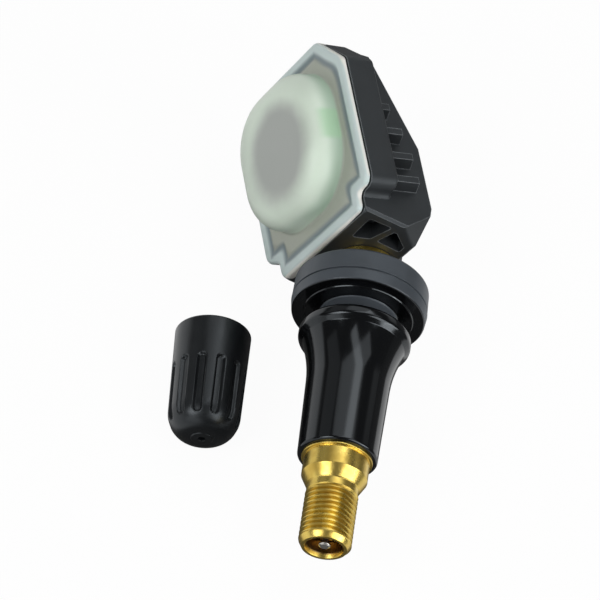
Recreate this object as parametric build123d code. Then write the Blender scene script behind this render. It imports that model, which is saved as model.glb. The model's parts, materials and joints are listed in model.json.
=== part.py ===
"""Snap-in tyre pressure sensor with its dust cap taken off, one STEP file per piece.

Millimetres, +Z up. The origin is the centre of the rubber flange's sealing face, on the stem's axis.
The stem runs towards -Y. A place along it is given as s, the distance from the origin to the tip.
The sensor unit has a frame of its own: X across the lid, Y away from the stem, Z out of the lid.
"""

import os
from math import atan, cos, degrees, hypot, radians, sin, sqrt, tan

from build123d import *

# How the sensor unit sits on the stem
UNIT_TILT = 20.53            # between the lid and the stem's axis
UNIT_ROLL = 30.22            # the lid's side of the unit, above the horizontal
LID_OFFSET = 3.41            # from the origin to the lid joint's plane
FLOOR = -12.54               # height of the table that the loose cap lies on

# Housing outline under the lid, in the unit's frame
HALF_WIDTH = 15.15
FAR_END = 42.4
FAR_HALF_WIDTH = 9.0         # the far edge, between its two corner cuts
CORNER_CUT_START = 36.4
SHOULDER = 14.6
NOSE_HALF_WIDTH = 11.85
NOSE_END = 11.7
SHOULDER_ROUND = 1.9
NOSE_ROUND = 1.3
CUT_ROUND = 1.6
KEYED_SHOULDER = 16.3        # the left shoulder slants, so that the lid fits one way only
KEYED_NOSE_ROUND = 2.0

# Lid
LID_INSET = 0.2
LID_THICK = 0.8
LID_ROUND = 0.65
JOINT_GAP = 0.14             # the dark line under the lid's edge
SPIGOT_DEPTH = 1.0
SPIGOT_INSET = 1.5
SPIGOT_WALL = 1.1
SPIGOT_CLEARANCE = 0.12
LINE_INSET = 2.0             # groove that follows the outline on the lid's face
LINE_WIDTH = 0.5
LINE_DEPTH = 0.45
DOME_Y = 27.65
DOME_HALF = 11.5
DOME_CORNER = 9.2
DOME_TOP = 6.3
DOME_ROUND = 2.7
DOME_DRAFT = 4.0
DOME_WALL = 0.8

# Housing
BAND_DEPTH = 5.0             # full-width part of the housing under the lid
BAND_ROUND = 0.5
BODY_HALF_WIDTH = 12.0
BODY_FAR_END = 42.0
BODY_CUT_START = 39.0
BODY_FAR_HALF_WIDTH = 8.6
BACK_DEPTH = 12.2            # flat of the back, from the lid joint
BACK_SLOPE = 19.6
BACK_KNEE = 23.4             # where the sloped back meets its flat
BASE_S = -10.0               # the face that the stem stands on
UNDERSIDE_M = 3.65           # underside, from the stem's axis and parallel to it
BEVEL = 3.9                  # corner cut off the base at either side
EDGE_BREAK = 0.4
BODY_WALL = 1.6
CAVITY_INSET = 2.75
CAVITY_END_S = -14.5
CAVITY_M = (-7.0, 1.9)         # its end wall, across the stem's axis
CAVITY_FAR_WALL = 2.9
LEDGE_DEPTH = 3.0            # the circuit board rests here
RIB_PLACES = (28.5, 24.35, 20.15, 16.15)
RIB_REACH = (6.4, 7.8, 8.7, 8.9)
RIB_THICK = 1.1
RIB_FACE = 14.7
RIB_END_SLANT = 1.2
RIB_SINK = 0.3               # rib's root in the wall
POCKET_DEPTH = 3.2
POCKET_UPPER = ((4.6, 5.3), (10.2, 5.5), (10.4, 1.7), (5.9, 2.85))
POCKET_LOWER = ((6.1, 1.75), (10.0, 0.75), (7.3, -2.3), (5.9, -2.3))
POCKET_ROUND = 0.35
BOSS_R = 5.4
BOSS_END_S = -17.0
CHANNEL_R = 3.1              # screwdriver's way to the stem screw
CHANNEL_WALL = 1.2
CHANNEL_END_S = -40.0
SEAT_S = -15.0               # the stem screw's head seats here
PORT_Y = 32.6                # pressure port through the back
PORT_R = 0.6
PORT_BOSS_R = 3.0

# Stem
SPIGOT_R = 3.3
SPIGOT_S = -13.0
SOCKET_CLEARANCE = 0.1
FOOT_R = 4.8
FOOT_END = -4.2
TAP_R = 1.62
SLEEVE_R = 3.7               # brass inside the rubber
ANCHOR_R = 4.6               # ring that anchors the rubber
ANCHOR_S = (-1.7, 0.6)
STEP_SLOPE = 0.5             # run of the slope at each step
HEAD_S = 23.0                # thicker brass from here to the ring
HEAD_STEP = 0.6
RING_R = 5.23
RING_EDGE = 0.12
COLLAR_R = 4.83
COLLAR_START = 25.5
COLLAR_END = 28.4
CONE_END = 30.1
THREAD_R = 3.875             # 8V1 valve thread
THREAD_RELIEF = 0.08
THREAD_PITCH = 0.794
THREAD_DEPTH = 0.43
THREAD_CREST = 0.15
THREAD_FLANK = 30.0
THREAD_NECK = 1.0            # plain neck between the cone and the thread
TIP_S = 39.95
TIP_CHAMFER_S = TIP_S - 0.85
TIP_R = 3.3
MOUTH_R = 2.84
CORE_BORE_R = 2.62
SEAL_SEAT_S = (TIP_S - 5.95, TIP_S - 7.15)
PIN_BORE_R = 2.05
PIN_BORE_END = TIP_S - 15.65
AIR_BORE_R = 1.25
AIR_HOLE_S = -7.7
AIR_HOLE_R = 0.9

# Rubber
FLANGE_TOP = -5.6
FLANGE_R = 10.35
FLANGE_EDGE_R = 10.1
PARTING_S = -1.83
FLANGE_ROUND = 0.6
LIP_R = 8.0                  # raised sealing ring on the flange's face
LIP_HEIGHT = 0.3
LIP_WIDTH = 0.7
NECK_R = 5.8
NECK_END = 2.5
BEAD_R = 8.47
BEAD_S = 4.4
BEAD_SHOULDER = 1.5
BEAD_END = 6.0
FLARE_R = 8.05               # flared body under the bead
TAPER_R = 6.25               # tapered sleeve from here
TAPER_S = 12.5
RUBBER_END_R = 5.88
RUBBER_END = 25.15
RUBBER_LIP_ROUND = 0.45
BOND_GAP = 0.02

# Valve core
CORE_TRAVEL = 1.5            # the pin's stroke into the stem
PIN_R = 0.45
PIN_RUNNING_GAP = 0.07
PIN_HEAD_R = 0.87
PIN_HEAD_THICK = 0.55
PIN_HEAD_CLEARANCE = 0.35    # left under the head at full stroke
PIN_COLLAR_R = 0.98
PIN_COLLAR_S = (TIP_S - 5.95, TIP_S - 5.55)
PLUG_R = 2.56
PLUG_S = (TIP_S - 5.05, TIP_S - 3.55)
TANG_HEIGHT = 0.9
TANG_MARGIN = 0.3
TANG_WIDTH = 1.7
SEAL_S = (TIP_S - 7.0, TIP_S - 5.15)
BARREL_S = (TIP_S - 11.35, TIP_S - 5.05)
BARREL_R = 1.75
BARREL_NECK_R = 1.42
BARREL_BORE_R = 1.12
BARREL_FLOOR = 0.7
GASKET_R = 1.6
GASKET_THICK = 0.55
SEALING_GAP = 0.06
CUP_R = 1.7
CUP_THICK = 1.5
SPRING_COIL_R = 0.82
SPRING_WIRE_R = 0.14
SPRING_TURNS = 5

# Electronics
CELL_R = 10.0
CELL_BASE = -0.3
CELL_FACE_INSET = 1.8
CELL_STEP_INSET = 1.2
CELL_EDGE = 0.4
CELL_THICK = 5.0
CELL_CAN_STEP = 0.9
TAB_WIDTH = 3.4
TAB_THICK = 0.2
TAB_LANDING = 0.9
TAB_START = 2.0              # strip's end, from the cell's middle
TAB_CLEARANCE = 0.2
BOARD_THICK = 1.0
BOARD_CLEARANCE = 0.3
BOARD_NOSE = 17.4
PART_GAP = 0.9               # from a component's side to the cavity's wall
CHIP_SIZE = (5.0, 5.0, 2.0)
CHIP_PORT_DEPTH = 1.2
SEAL_R = 2.0
SEAL_HEIGHT = 1.4
SEAL_POCKET_CLEARANCE = 0.1
COIL_SIZE = (3.0, 8.0, 2.6)
COIL_Y = 30.5
COIL_CHEEK = 1.2             # ferrite at either end of the winding
COIL_WAIST = 0.6             # winding's room on each side
WINDING_MARGIN = 0.15
WINDING_END_GAP = 0.1
RADIO_SIZE = (5.0, 5.0, 0.9)
RADIO_Y = 26.5
CRYSTAL_SIZE = (2.5, 3.2, 0.8)
CRYSTAL_Y = 33.4
ANTENNA_R = 0.35
ANTENNA_HEIGHT = 1.6
ANTENNA_SPAN = (-9.4, 7.6)   # its feet along the unit, from the cell's middle
ANTENNA_EDGE = 0.9           # from the board's edge
ANTENNA_BEND = 0.7

# Stem screw
SCREW_R = 1.6
SCREW_HOLE_R = 1.9
SCREW_END_S = -9.3
SCREW_HEAD_R = 2.85
SCREW_HEAD_THICK = 2.0
SCREW_DRIVE_R = 1.3
SCREW_DRIVE_DEPTH = 1.2

# Dust cap, lying on its side
CAP_PLACE = (-21.9, -1.5)
CAP_YAW = 3.2
CAP_MOUTH_R = 5.85
CAP_WAIST_R = 5.45
CAP_WAIST = 15.6
CAP_LENGTH = 18.5
CAP_CROWN = 0.6              # rise of the crowned end
CAP_END_ROUND = 2.4
CAP_EDGE = 0.3
CAP_BORE_R = 3.95
CAP_BORE_DEPTH = 10.3
CAP_MOUTH_BORE_R = 4.35
CAP_MOUTH_DEPTH = 1.3
CAP_GROOVES = 12
CAP_GROOVE_R = 0.75
CAP_GROOVE_CUT = 0.55
CAP_GROOVE_START = 7.8
CAP_DIMPLE_R = 0.5
CAP_DIMPLE_DEPTH = 1.2
CAP_RING_R = 1.5
CAP_RING_WIDTH = 0.5
CAP_RING_DEPTH = 0.25
CAP_SEAL_R = 3.5
CAP_SEAL_THICK = 1.2
CAP_SEAL_CLEARANCE = 0.1


def unit_frame():
    """Place of the sensor unit's frame in the row's frame."""
    tilt, roll = radians(UNIT_TILT), radians(UNIT_ROLL)
    across = Vector(sin(roll), 0, cos(roll))
    inward = Vector(cos(tilt) * cos(roll), sin(tilt), -cos(tilt) * sin(roll))
    return Location(Plane(origin=inward * -LID_OFFSET, x_dir=across, z_dir=inward * -1))


def stem_in_unit():
    """Place of the stem's axis in the unit's frame: local Z is s, local Y points to the lid's side."""
    tilt = radians(UNIT_TILT)
    return Location(Plane(origin=(0, 0, -LID_OFFSET), x_dir=(1, 0, 0), z_dir=(0, -cos(tilt), sin(tilt))))


def stem_to_unit(m, s):
    """Unit-frame (y, z) of a place m away from the lid's side of the axis and s along it."""
    tilt = radians(UNIT_TILT)
    return -(m * sin(tilt) + s * cos(tilt)), -(LID_OFFSET + m * cos(tilt) - s * sin(tilt))


def cap_frame():
    """Place of the loose cap: local Z runs from its mouth to its closed end."""
    lean = atan((CAP_WAIST_R - CAP_MOUTH_R) / CAP_WAIST)
    yaw = radians(CAP_YAW)
    run = Vector(sin(yaw) * cos(lean), -cos(yaw) * cos(lean), sin(lean))
    height = FLOOR + CAP_MOUTH_R * cos(lean)
    return Location(Plane(origin=(*CAP_PLACE, height), x_dir=(cos(yaw), sin(yaw), 0), z_dir=run))


STEM = Location((0, 0, 0), (90, 0, 0))
UNIT = unit_frame()
AXIS_IN_UNIT = stem_in_unit()
CAP = cap_frame()
TANG_TOP = PLUG_S[1] + TANG_HEIGHT
PIN_HEAD_FOOT = TANG_TOP + CORE_TRAVEL + PIN_HEAD_CLEARANCE
PIN_HEAD_TOP = PIN_HEAD_FOOT + PIN_HEAD_THICK
PORT_BOSS_TOP = -LEDGE_DEPTH - CHIP_SIZE[2] - SEAL_HEIGHT
BOARD_TOP = -LEDGE_DEPTH + BOARD_THICK
REACH = FAR_END + BACK_DEPTH  # past every face of the unit, for trimming


def rounded(points, radii):
    """Face of a polygon whose corners carry their own rounds."""
    face = make_face(Polyline(*points, close=True))
    for radius in sorted(set(radii) - {0}):
        wanted = [Vector(*p) for p, r in zip(points, radii) if r == radius]
        corners = [min(face.vertices(), key=lambda v: (Vector(v.X, v.Y) - p).length) for p in wanted]
        face = fillet(corners, radius)
    return face


def mirrored(points):
    """A half outline (x > 0) followed by its mirror image, in one run."""
    return list(points) + [(-x, y) for x, y in reversed(points)]


def outline(inset=0.0, keyed=False):
    """The housing's outline, moved in by an inset, plain or with the keyed left shoulder."""
    half = (
        (NOSE_HALF_WIDTH - inset, NOSE_END + inset),
        (NOSE_HALF_WIDTH - inset, SHOULDER + inset),
        (HALF_WIDTH - inset, SHOULDER + inset),
        (HALF_WIDTH - inset, CORNER_CUT_START - 0.4 * inset),
        (FAR_HALF_WIDTH - 0.4 * inset, FAR_END - inset),
    )
    radii = (NOSE_ROUND, NOSE_ROUND, SHOULDER_ROUND, CUT_ROUND, CUT_ROUND)
    points, rounds = mirrored(half), list(radii + radii[::-1])
    if keyed:
        points[-3] = (inset - HALF_WIDTH, KEYED_SHOULDER + 0.6 * inset)
        rounds[-2:] = [0.8, KEYED_NOSE_ROUND]
    return rounded(points, rounds)


def slab(face, low, high):
    """A face in the XY plane raised from one height to another."""
    return Pos(0, 0, low) * extrude(face, high - low)


def turned(*profile):
    """Solid turned about local Z from (radius, s) corners."""
    return revolve(Plane.XZ * make_face(Polyline(*profile, close=True)), Axis.Z)


def rod(radius, low, high):
    """Plain cylinder on local Z."""
    return Pos(0, 0, low) * Cylinder(radius, high - low, align=(Align.CENTER, Align.CENTER, Align.MIN))


def tube(outer, inner, low, high):
    """Plain tube on local Z."""
    return rod(outer, low, high) - rod(inner, low - 1, high + 1)


def block(size, place):
    """Box whose top centre is at a place."""
    return Pos(*place) * Box(*size, align=(Align.CENTER, Align.CENTER, Align.MAX))


def both_sides(part):
    """A part with its mirror image across the unit's middle."""
    return part + mirror(part, Plane.YZ)


def dome_solid(shrink):
    """The battery dome, or its inside when shrunk by the wall."""
    side = 2 * (DOME_HALF - shrink)
    body = extrude(RectangleRounded(side, side, DOME_CORNER - shrink), DOME_TOP - shrink)
    walls = body.faces().filter_by(lambda face: abs(face.normal_at().Z) < 0.5)
    body = draft(walls, Plane.XY, DOME_DRAFT)
    body = fillet(body.faces().sort_by(Axis.Z)[-1].edges(), DOME_ROUND - shrink)
    return Pos(0, DOME_Y, 0) * body


def make_lid():
    """Moulded lid: rounded plate, spigot, groove line and the hollow battery dome."""
    plate = slab(outline(LID_INSET, keyed=True), 0, LID_THICK)
    plate = fillet(plate.faces().sort_by(Axis.Z)[-1].edges(), LID_ROUND)
    line = slab(outline(LINE_INSET) - outline(LINE_INSET + LINE_WIDTH), LID_THICK - LINE_DEPTH, LID_THICK + 1)
    spigot_face = outline(SPIGOT_INSET) - outline(SPIGOT_INSET + SPIGOT_WALL)
    spigot = slab(spigot_face, -SPIGOT_DEPTH, 0)
    return plate - line + spigot + dome_solid(0) - dome_solid(DOME_WALL)


def back_line(y):
    """Height of the sloped back at a distance y from the stem."""
    return -BACK_DEPTH + max(0.0, y - BACK_KNEE) * tan(radians(BACK_SLOPE))


def housing_outside():
    """The housing before it is hollowed."""
    band = slab(outline(keyed=True), -BAND_DEPTH, -JOINT_GAP)
    band = fillet(band.faces().sort_by(Axis.Z)[0].edges(), BAND_ROUND)
    low_edge = stem_to_unit(UNDERSIDE_M, BASE_S)
    top_m = (JOINT_GAP - LID_OFFSET + BASE_S * sin(radians(UNIT_TILT))) / cos(radians(UNIT_TILT))
    top_edge = stem_to_unit(top_m, BASE_S)
    drop = (BACK_DEPTH + low_edge[1]) / sin(radians(UNIT_TILT))
    knee = stem_to_unit(UNDERSIDE_M, BASE_S - drop)
    side = (
        top_edge,
        low_edge,
        knee,
        (BACK_KNEE, -BACK_DEPTH),
        (BODY_FAR_END, back_line(BODY_FAR_END)),
        (BODY_FAR_END, -JOINT_GAP),
    )
    body = extrude(Plane.YZ * make_face(Polyline(*side, close=True)), BODY_HALF_WIDTH, both=True)
    plan = mirrored((
        (BODY_HALF_WIDTH, 0),
        (BODY_HALF_WIDTH, BODY_CUT_START),
        (BODY_FAR_HALF_WIDTH, BODY_FAR_END),
    ))
    body &= slab(make_face(Polyline(*plan, close=True)), -REACH, 0)
    corner = AXIS_IN_UNIT * Pos(BODY_HALF_WIDTH, -UNDERSIDE_M, BASE_S)
    bevel = Location(Plane(origin=(-BEVEL / 3, BEVEL / 3, -BEVEL / 3), z_dir=(1, -1, 1)))
    body -= both_sides(corner * bevel * slab(Rectangle(REACH / 2, REACH / 2), 0, REACH / 5))
    base = body.faces().sort_by(Axis(stem_to_unit_point(0, 0), axis_direction()))[-1]
    body = chamfer(base.edges(), EDGE_BREAK)
    return band + body + AXIS_IN_UNIT * rod(BOSS_R, BOSS_END_S, BASE_S)


def stem_to_unit_point(m, s):
    """A place on the unit's middle plane, as a point of the unit's frame."""
    return (0, *stem_to_unit(m, s))


def axis_direction():
    """The stem's direction in the unit's frame."""
    return 0, -cos(radians(UNIT_TILT)), sin(radians(UNIT_TILT))


def make_housing():
    """Moulded housing: hollowed shell, side ribs, base pockets, stem socket and screw channel."""
    outside = housing_outside()
    for place, reach in zip(RIB_PLACES, RIB_REACH):
        root = BODY_HALF_WIDTH - RIB_SINK
        web = ((root, 1 - BAND_DEPTH), (RIB_FACE, 1 - BAND_DEPTH), (RIB_FACE, -reach), (root, -reach - RIB_END_SLANT))
        rib = extrude(Plane.XZ * make_face(Polyline(*web, close=True)), RIB_THICK / 2, both=True)
        outside += both_sides(Pos(0, place, 0) * rib)

    recess = slab(outline(SPIGOT_INSET - SPIGOT_CLEARANCE), -SPIGOT_DEPTH, 1)
    wall_y = stem_to_unit(-LID_OFFSET, CAVITY_END_S)[0] + EDGE_BREAK
    upper = slab(outline(CAVITY_INSET), -LEDGE_DEPTH, 1) & Pos(0, wall_y, 0) * block((REACH,) * 3, (0, REACH / 2, REACH / 2))
    floor = BODY_WALL / cos(radians(BACK_SLOPE))
    end_high, end_low = (stem_to_unit(m, CAVITY_END_S) for m in CAVITY_M)
    far = BODY_FAR_END - CAVITY_FAR_WALL
    open_top = BOARD_THICK / 2 - LEDGE_DEPTH
    hollow = (
        (end_high[0], end_high[1]),
        (end_low[0], end_low[1]),
        (BACK_KNEE, -BACK_DEPTH + floor),
        (far, back_line(far) + floor),
        (far, open_top),
        (end_high[0], open_top),
    )
    deep = extrude(Plane.YZ * make_face(Polyline(*hollow, close=True)), BODY_HALF_WIDTH - BODY_WALL, both=True)
    lining = AXIS_IN_UNIT * rod(CHANNEL_R + CHANNEL_WALL, CHANNEL_END_S, CAVITY_END_S + 1) & outside
    port = Pos(0, PORT_Y, 0) * rod(PORT_BOSS_R, -BACK_DEPTH, PORT_BOSS_TOP) & outside

    shell = outside - recess - upper - deep + lining + port
    pockets = rounded(POCKET_UPPER, (POCKET_ROUND,) * 4) + rounded(POCKET_LOWER, (POCKET_ROUND,) * 4)
    shell -= both_sides(AXIS_IN_UNIT * slab(pockets, BASE_S - POCKET_DEPTH, BASE_S + 1))
    shell -= AXIS_IN_UNIT * rod(SPIGOT_R + SOCKET_CLEARANCE, SPIGOT_S, BASE_S + 1)
    shell -= AXIS_IN_UNIT * rod(SCREW_HOLE_R, SEAT_S - 1, SPIGOT_S + 1)
    shell -= AXIS_IN_UNIT * rod(CHANNEL_R, CHANNEL_END_S, SEAT_S)
    shell -= Pos(0, PORT_Y, 0) * rod(SEAL_R + SEAL_POCKET_CLEARANCE, PORT_BOSS_TOP, -LEDGE_DEPTH)
    return shell - Pos(0, PORT_Y, 0) * rod(PORT_R, -BACK_DEPTH - 1, -LEDGE_DEPTH)


def thread_rings():
    """Corners of the thread's rings, one for each turn, from the neck to the tip's chamfer."""
    root = THREAD_R - THREAD_DEPTH
    run = THREAD_DEPTH * tan(radians(THREAD_FLANK))
    turns = int((TIP_CHAMFER_S - CONE_END - THREAD_NECK) / THREAD_PITCH)
    corners = []
    for turn in reversed(range(turns)):
        top = TIP_CHAMFER_S - turn * THREAD_PITCH
        foot = top - THREAD_CREST
        corners += [(root, foot - run), (THREAD_R, foot), (THREAD_R, top), (root, top + run)]
    return corners[:-1]


def stem_outside(grow=0.0):
    """Corners of the brass stem's outside, from its foot to its tip."""
    return (
        (0, SPIGOT_S),
        (SPIGOT_R, SPIGOT_S),
        (SPIGOT_R, BASE_S),
        (FOOT_R + grow, BASE_S),
        (FOOT_R + grow, FOOT_END),
        (SLEEVE_R + grow, FOOT_END + STEP_SLOPE),
        (SLEEVE_R + grow, ANCHOR_S[0] - STEP_SLOPE),
        (ANCHOR_R + grow, ANCHOR_S[0]),
        (ANCHOR_R + grow, ANCHOR_S[1]),
        (SLEEVE_R + grow, ANCHOR_S[1] + STEP_SLOPE),
        (SLEEVE_R + grow, HEAD_S - STEP_SLOPE),
        (RING_R - HEAD_STEP + grow, HEAD_S),
        (RING_R - HEAD_STEP + grow, RUBBER_END),
        (RING_R, RUBBER_END + BOND_GAP),
        (RING_R, COLLAR_START - RING_EDGE),
        (RING_R - RING_EDGE, COLLAR_START),
        (COLLAR_R, COLLAR_START),
        (COLLAR_R, COLLAR_END),
        (THREAD_R + THREAD_RELIEF, CONE_END),
        (THREAD_R - THREAD_DEPTH, CONE_END),
        *thread_rings(),
        (TIP_R, TIP_S),
        (0, TIP_S),
    )


def make_stem():
    """Turned brass stem with its stepped bore, tapped foot and crosswise air hole."""
    body = turned(*stem_outside())
    bore = turned(
        (0, TIP_S + 1),
        (MOUTH_R, TIP_S + 1),
        (MOUTH_R, TIP_S),
        (CORE_BORE_R, TIP_S - 0.7),
        (CORE_BORE_R, SEAL_SEAT_S[0]),
        (PIN_BORE_R, SEAL_SEAT_S[1]),
        (PIN_BORE_R, PIN_BORE_END),
        (AIR_BORE_R, PIN_BORE_END - 0.7),
        (AIR_BORE_R, AIR_HOLE_S - 0.4),
        (TAP_R, AIR_HOLE_S - 0.8),
        (TAP_R, SPIGOT_S - 1),
        (0, SPIGOT_S - 1),
    )
    air_hole = Pos(0, 0, AIR_HOLE_S) * Rot(0, 90, 0) * Cylinder(AIR_HOLE_R, 3 * FOOT_R)
    return body - bore - air_hole


def make_boot():
    """Moulded rubber: flange with its sealing ring, rim groove, bead and the flared body."""
    start = (FOOT_R, FLANGE_TOP)
    edge = (FLANGE_R - 0.15, FLANGE_TOP + FLANGE_ROUND)
    corner = (FLANGE_R - 0.15 - FLANGE_ROUND, FLANGE_TOP)
    turn = FLANGE_ROUND * (1 - sqrt(0.5))
    middle = (edge[0] - turn, FLANGE_TOP + turn)
    lip_out, lip_in = LIP_R + LIP_WIDTH / 2, LIP_R - LIP_WIDTH / 2
    bead_top = (BEAD_R - BEAD_SHOULDER, NECK_END)
    end = RUBBER_END - RUBBER_LIP_ROUND
    profile = (
        Polyline((0, FLANGE_TOP), start, corner)
        + ThreePointArc(corner, middle, edge)
        + Polyline(edge, (FLANGE_R, PARTING_S), (FLANGE_EDGE_R, 0), (lip_out, 0))
        + ThreePointArc((lip_out, 0), (LIP_R, LIP_HEIGHT), (lip_in, 0))
        + Polyline((lip_in, 0), (NECK_R + 0.4, 0), (NECK_R, 0.4), (NECK_R, NECK_END), bead_top)
        + ThreePointArc(bead_top, (BEAD_R - 0.22, BEAD_S - 0.75), (BEAD_R, BEAD_S))
        + ThreePointArc((BEAD_R, BEAD_S), (BEAD_R - 0.08, BEAD_S + 0.9), (FLARE_R, BEAD_END))
        + TangentArc((TAPER_R, TAPER_S), (FLARE_R, BEAD_END), tangent=(TAPER_R - RUBBER_END_R, TAPER_S - end))
        + Polyline((TAPER_R, TAPER_S), (RUBBER_END_R, end))
        + ThreePointArc(
            (RUBBER_END_R, end),
            (RUBBER_END_R - 0.3 * RUBBER_LIP_ROUND, end + 0.7 * RUBBER_LIP_ROUND),
            (RUBBER_END_R - RUBBER_LIP_ROUND, RUBBER_END),
        )
        + Polyline((RUBBER_END_R - RUBBER_LIP_ROUND, RUBBER_END), (0, RUBBER_END), (0, FLANGE_TOP))
    )
    body = revolve(Plane.XZ * make_face(profile), Axis.Z)
    inside = [corner for corner in stem_outside(BOND_GAP) if BASE_S <= corner[1] <= RUBBER_END]
    return body - turned((0, BASE_S), *inside[1:], (RING_R - HEAD_STEP + BOND_GAP, TIP_S), (0, TIP_S))


def make_core_plug():
    """Threaded plug of the valve core, with the driving tang on top."""
    plug = rod(PLUG_R, *PLUG_S)
    tang = slab(Rectangle(TANG_WIDTH, 2 * (PLUG_R - TANG_MARGIN)), PLUG_S[1], TANG_TOP)
    return plug + tang - rod(PIN_R + PIN_RUNNING_GAP, PLUG_S[0] - 1, TANG_TOP + 1)


def make_core_seal():
    """Tapered ring that seals the plug in the stem."""
    return turned(
        (BARREL_NECK_R + 0.03, SEAL_S[0]),
        (PIN_BORE_R - 0.03, SEAL_S[0]),
        (CORE_BORE_R - 0.08, SEAL_SEAT_S[0] + 0.05),
        (CORE_BORE_R - 0.08, SEAL_S[1]),
        (BARREL_NECK_R + 0.03, SEAL_S[1]),
    )


def make_core_barrel():
    """Barrel of the valve core: spring chamber with a holed floor."""
    return turned(
        (PIN_R + PIN_RUNNING_GAP, BARREL_S[0]),
        (BARREL_R, BARREL_S[0]),
        (BARREL_R, SEAL_S[0] - 0.1),
        (BARREL_NECK_R, SEAL_S[0] - 0.1),
        (BARREL_NECK_R, BARREL_S[1]),
        (BARREL_BORE_R, BARREL_S[1]),
        (BARREL_BORE_R, BARREL_S[0] + BARREL_FLOOR),
        (PIN_R + PIN_RUNNING_GAP, BARREL_S[0] + BARREL_FLOOR),
    )


def core_end():
    """Faces of the valve core's moving end along s: gasket top, cup top and cup foot."""
    gasket_top = BARREL_S[0] - SEALING_GAP
    cup_top = gasket_top - GASKET_THICK
    return gasket_top, cup_top, cup_top - CUP_THICK


def make_core_pin():
    """Steel pin of the valve core, from its head down to the cup."""
    foot = core_end()[2]
    return turned(
        (0, foot - 0.3),
        (PIN_R, foot - 0.3),
        (PIN_R, PIN_COLLAR_S[0]),
        (PIN_COLLAR_R, PIN_COLLAR_S[0]),
        (PIN_COLLAR_R, PIN_COLLAR_S[1]),
        (PIN_R, PIN_COLLAR_S[1]),
        (PIN_R, PIN_HEAD_FOOT),
        (PIN_HEAD_R, PIN_HEAD_FOOT + 0.15),
        (PIN_HEAD_R, PIN_HEAD_TOP - 0.2),
        (PIN_HEAD_R - 0.3, PIN_HEAD_TOP),
        (0, PIN_HEAD_TOP),
    )


def make_core_spring():
    """Coil spring between the barrel's floor and the pin's collar."""
    low = BARREL_S[0] + BARREL_FLOOR + SPRING_WIRE_R
    high = PIN_COLLAR_S[0] - SPRING_WIRE_R
    path = Helix((high - low) / SPRING_TURNS, high - low, SPRING_COIL_R)
    start = Plane(origin=path @ 0, z_dir=path % 0)
    return Pos(0, 0, low) * sweep(start * RegularPolygon(SPRING_WIRE_R, 6), path, is_frenet=True)


def make_screw():
    """Stem screw, head towards the channel, with its driving recess."""
    head = SEAT_S - SCREW_HEAD_THICK
    body = turned(
        (0, head),
        (SCREW_HEAD_R - 0.4, head),
        (SCREW_HEAD_R, head + 0.4),
        (SCREW_HEAD_R, SEAT_S),
        (SCREW_R, SEAT_S),
        (SCREW_R, SCREW_END_S - 0.4),
        (SCREW_R - 0.4, SCREW_END_S),
        (0, SCREW_END_S),
    )
    drive = slab(RegularPolygon(SCREW_DRIVE_R, 6), head - 1, head + SCREW_DRIVE_DEPTH)
    turn = slab(RegularPolygon(SCREW_DRIVE_R, 6, rotation=30), head - 1, head + SCREW_DRIVE_DEPTH)
    return body - drive - turn


def make_cell():
    """Coin cell: wide can with the smaller stepped face under it."""
    top = CELL_BASE + CELL_THICK
    step = CELL_BASE + CELL_CAN_STEP
    return turned(
        (0, CELL_BASE),
        (CELL_R - CELL_FACE_INSET, CELL_BASE),
        (CELL_R - CELL_STEP_INSET, step),
        (CELL_R, step),
        (CELL_R, top - CELL_EDGE),
        (CELL_R - CELL_EDGE, top),
        (0, top),
    )


def make_tab(face, heading):
    """Welded strip: along a face of the cell, over its edge and down to the board."""
    reach = CELL_R + TAB_CLEARANCE
    side = (
        (TAB_START, face),
        (reach + TAB_THICK, face),
        (reach + TAB_THICK, BOARD_TOP),
        (reach + TAB_THICK - TAB_LANDING, BOARD_TOP),
        (reach + TAB_THICK - TAB_LANDING, BOARD_TOP + TAB_THICK),
        (reach, BOARD_TOP + TAB_THICK),
        (reach, face - TAB_THICK),
        (TAB_START, face - TAB_THICK),
    )
    strip = extrude(Plane.XZ * make_face(Polyline(*side, close=True)), TAB_WIDTH / 2, both=True)
    return Pos(0, DOME_Y, 0) * Rot(0, 0, heading) * strip


def make_board():
    """Circuit board on the housing's ledge."""
    face = outline(CAVITY_INSET + BOARD_CLEARANCE) & Pos(0, BOARD_NOSE + REACH / 2) * Rectangle(REACH, REACH)
    return slab(face, -LEDGE_DEPTH, BOARD_TOP)


def make_port_seal():
    """Rubber bush between the sensor chip and the pressure port."""
    return Pos(0, PORT_Y, 0) * tube(SEAL_R, PORT_R, PORT_BOSS_TOP, PORT_BOSS_TOP + SEAL_HEIGHT)


def make_sensor_chip():
    """Pressure sensor chip under the board, its sensing port facing the housing's back."""
    low = PORT_BOSS_TOP + SEAL_HEIGHT
    return Pos(0, PORT_Y, 0) * (block(CHIP_SIZE, (0, 0, -LEDGE_DEPTH)) - rod(PORT_R, low - 1, low + CHIP_PORT_DEPTH))


def beside_wall(wide):
    """A component's distance from the unit's middle when it lies along the cavity's wall."""
    return BODY_HALF_WIDTH - BODY_WALL - PART_GAP - wide / 2


def coil_waist():
    """The thinner ferrite that the winding goes round."""
    wide, long, tall = COIL_SIZE
    return block((wide - 2 * COIL_WAIST, long, tall - 2 * COIL_WAIST), (0, 0, -COIL_WAIST))


def make_coil_core():
    """Ferrite bobbin of the low-frequency coil."""
    wide, long, tall = COIL_SIZE
    room = block((2 * wide, long - 2 * COIL_CHEEK, 3 * tall), (0, 0, tall)) - coil_waist()
    return Pos(beside_wall(wide), COIL_Y, -LEDGE_DEPTH) * (block(COIL_SIZE, (0, 0, 0)) - room)


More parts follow.
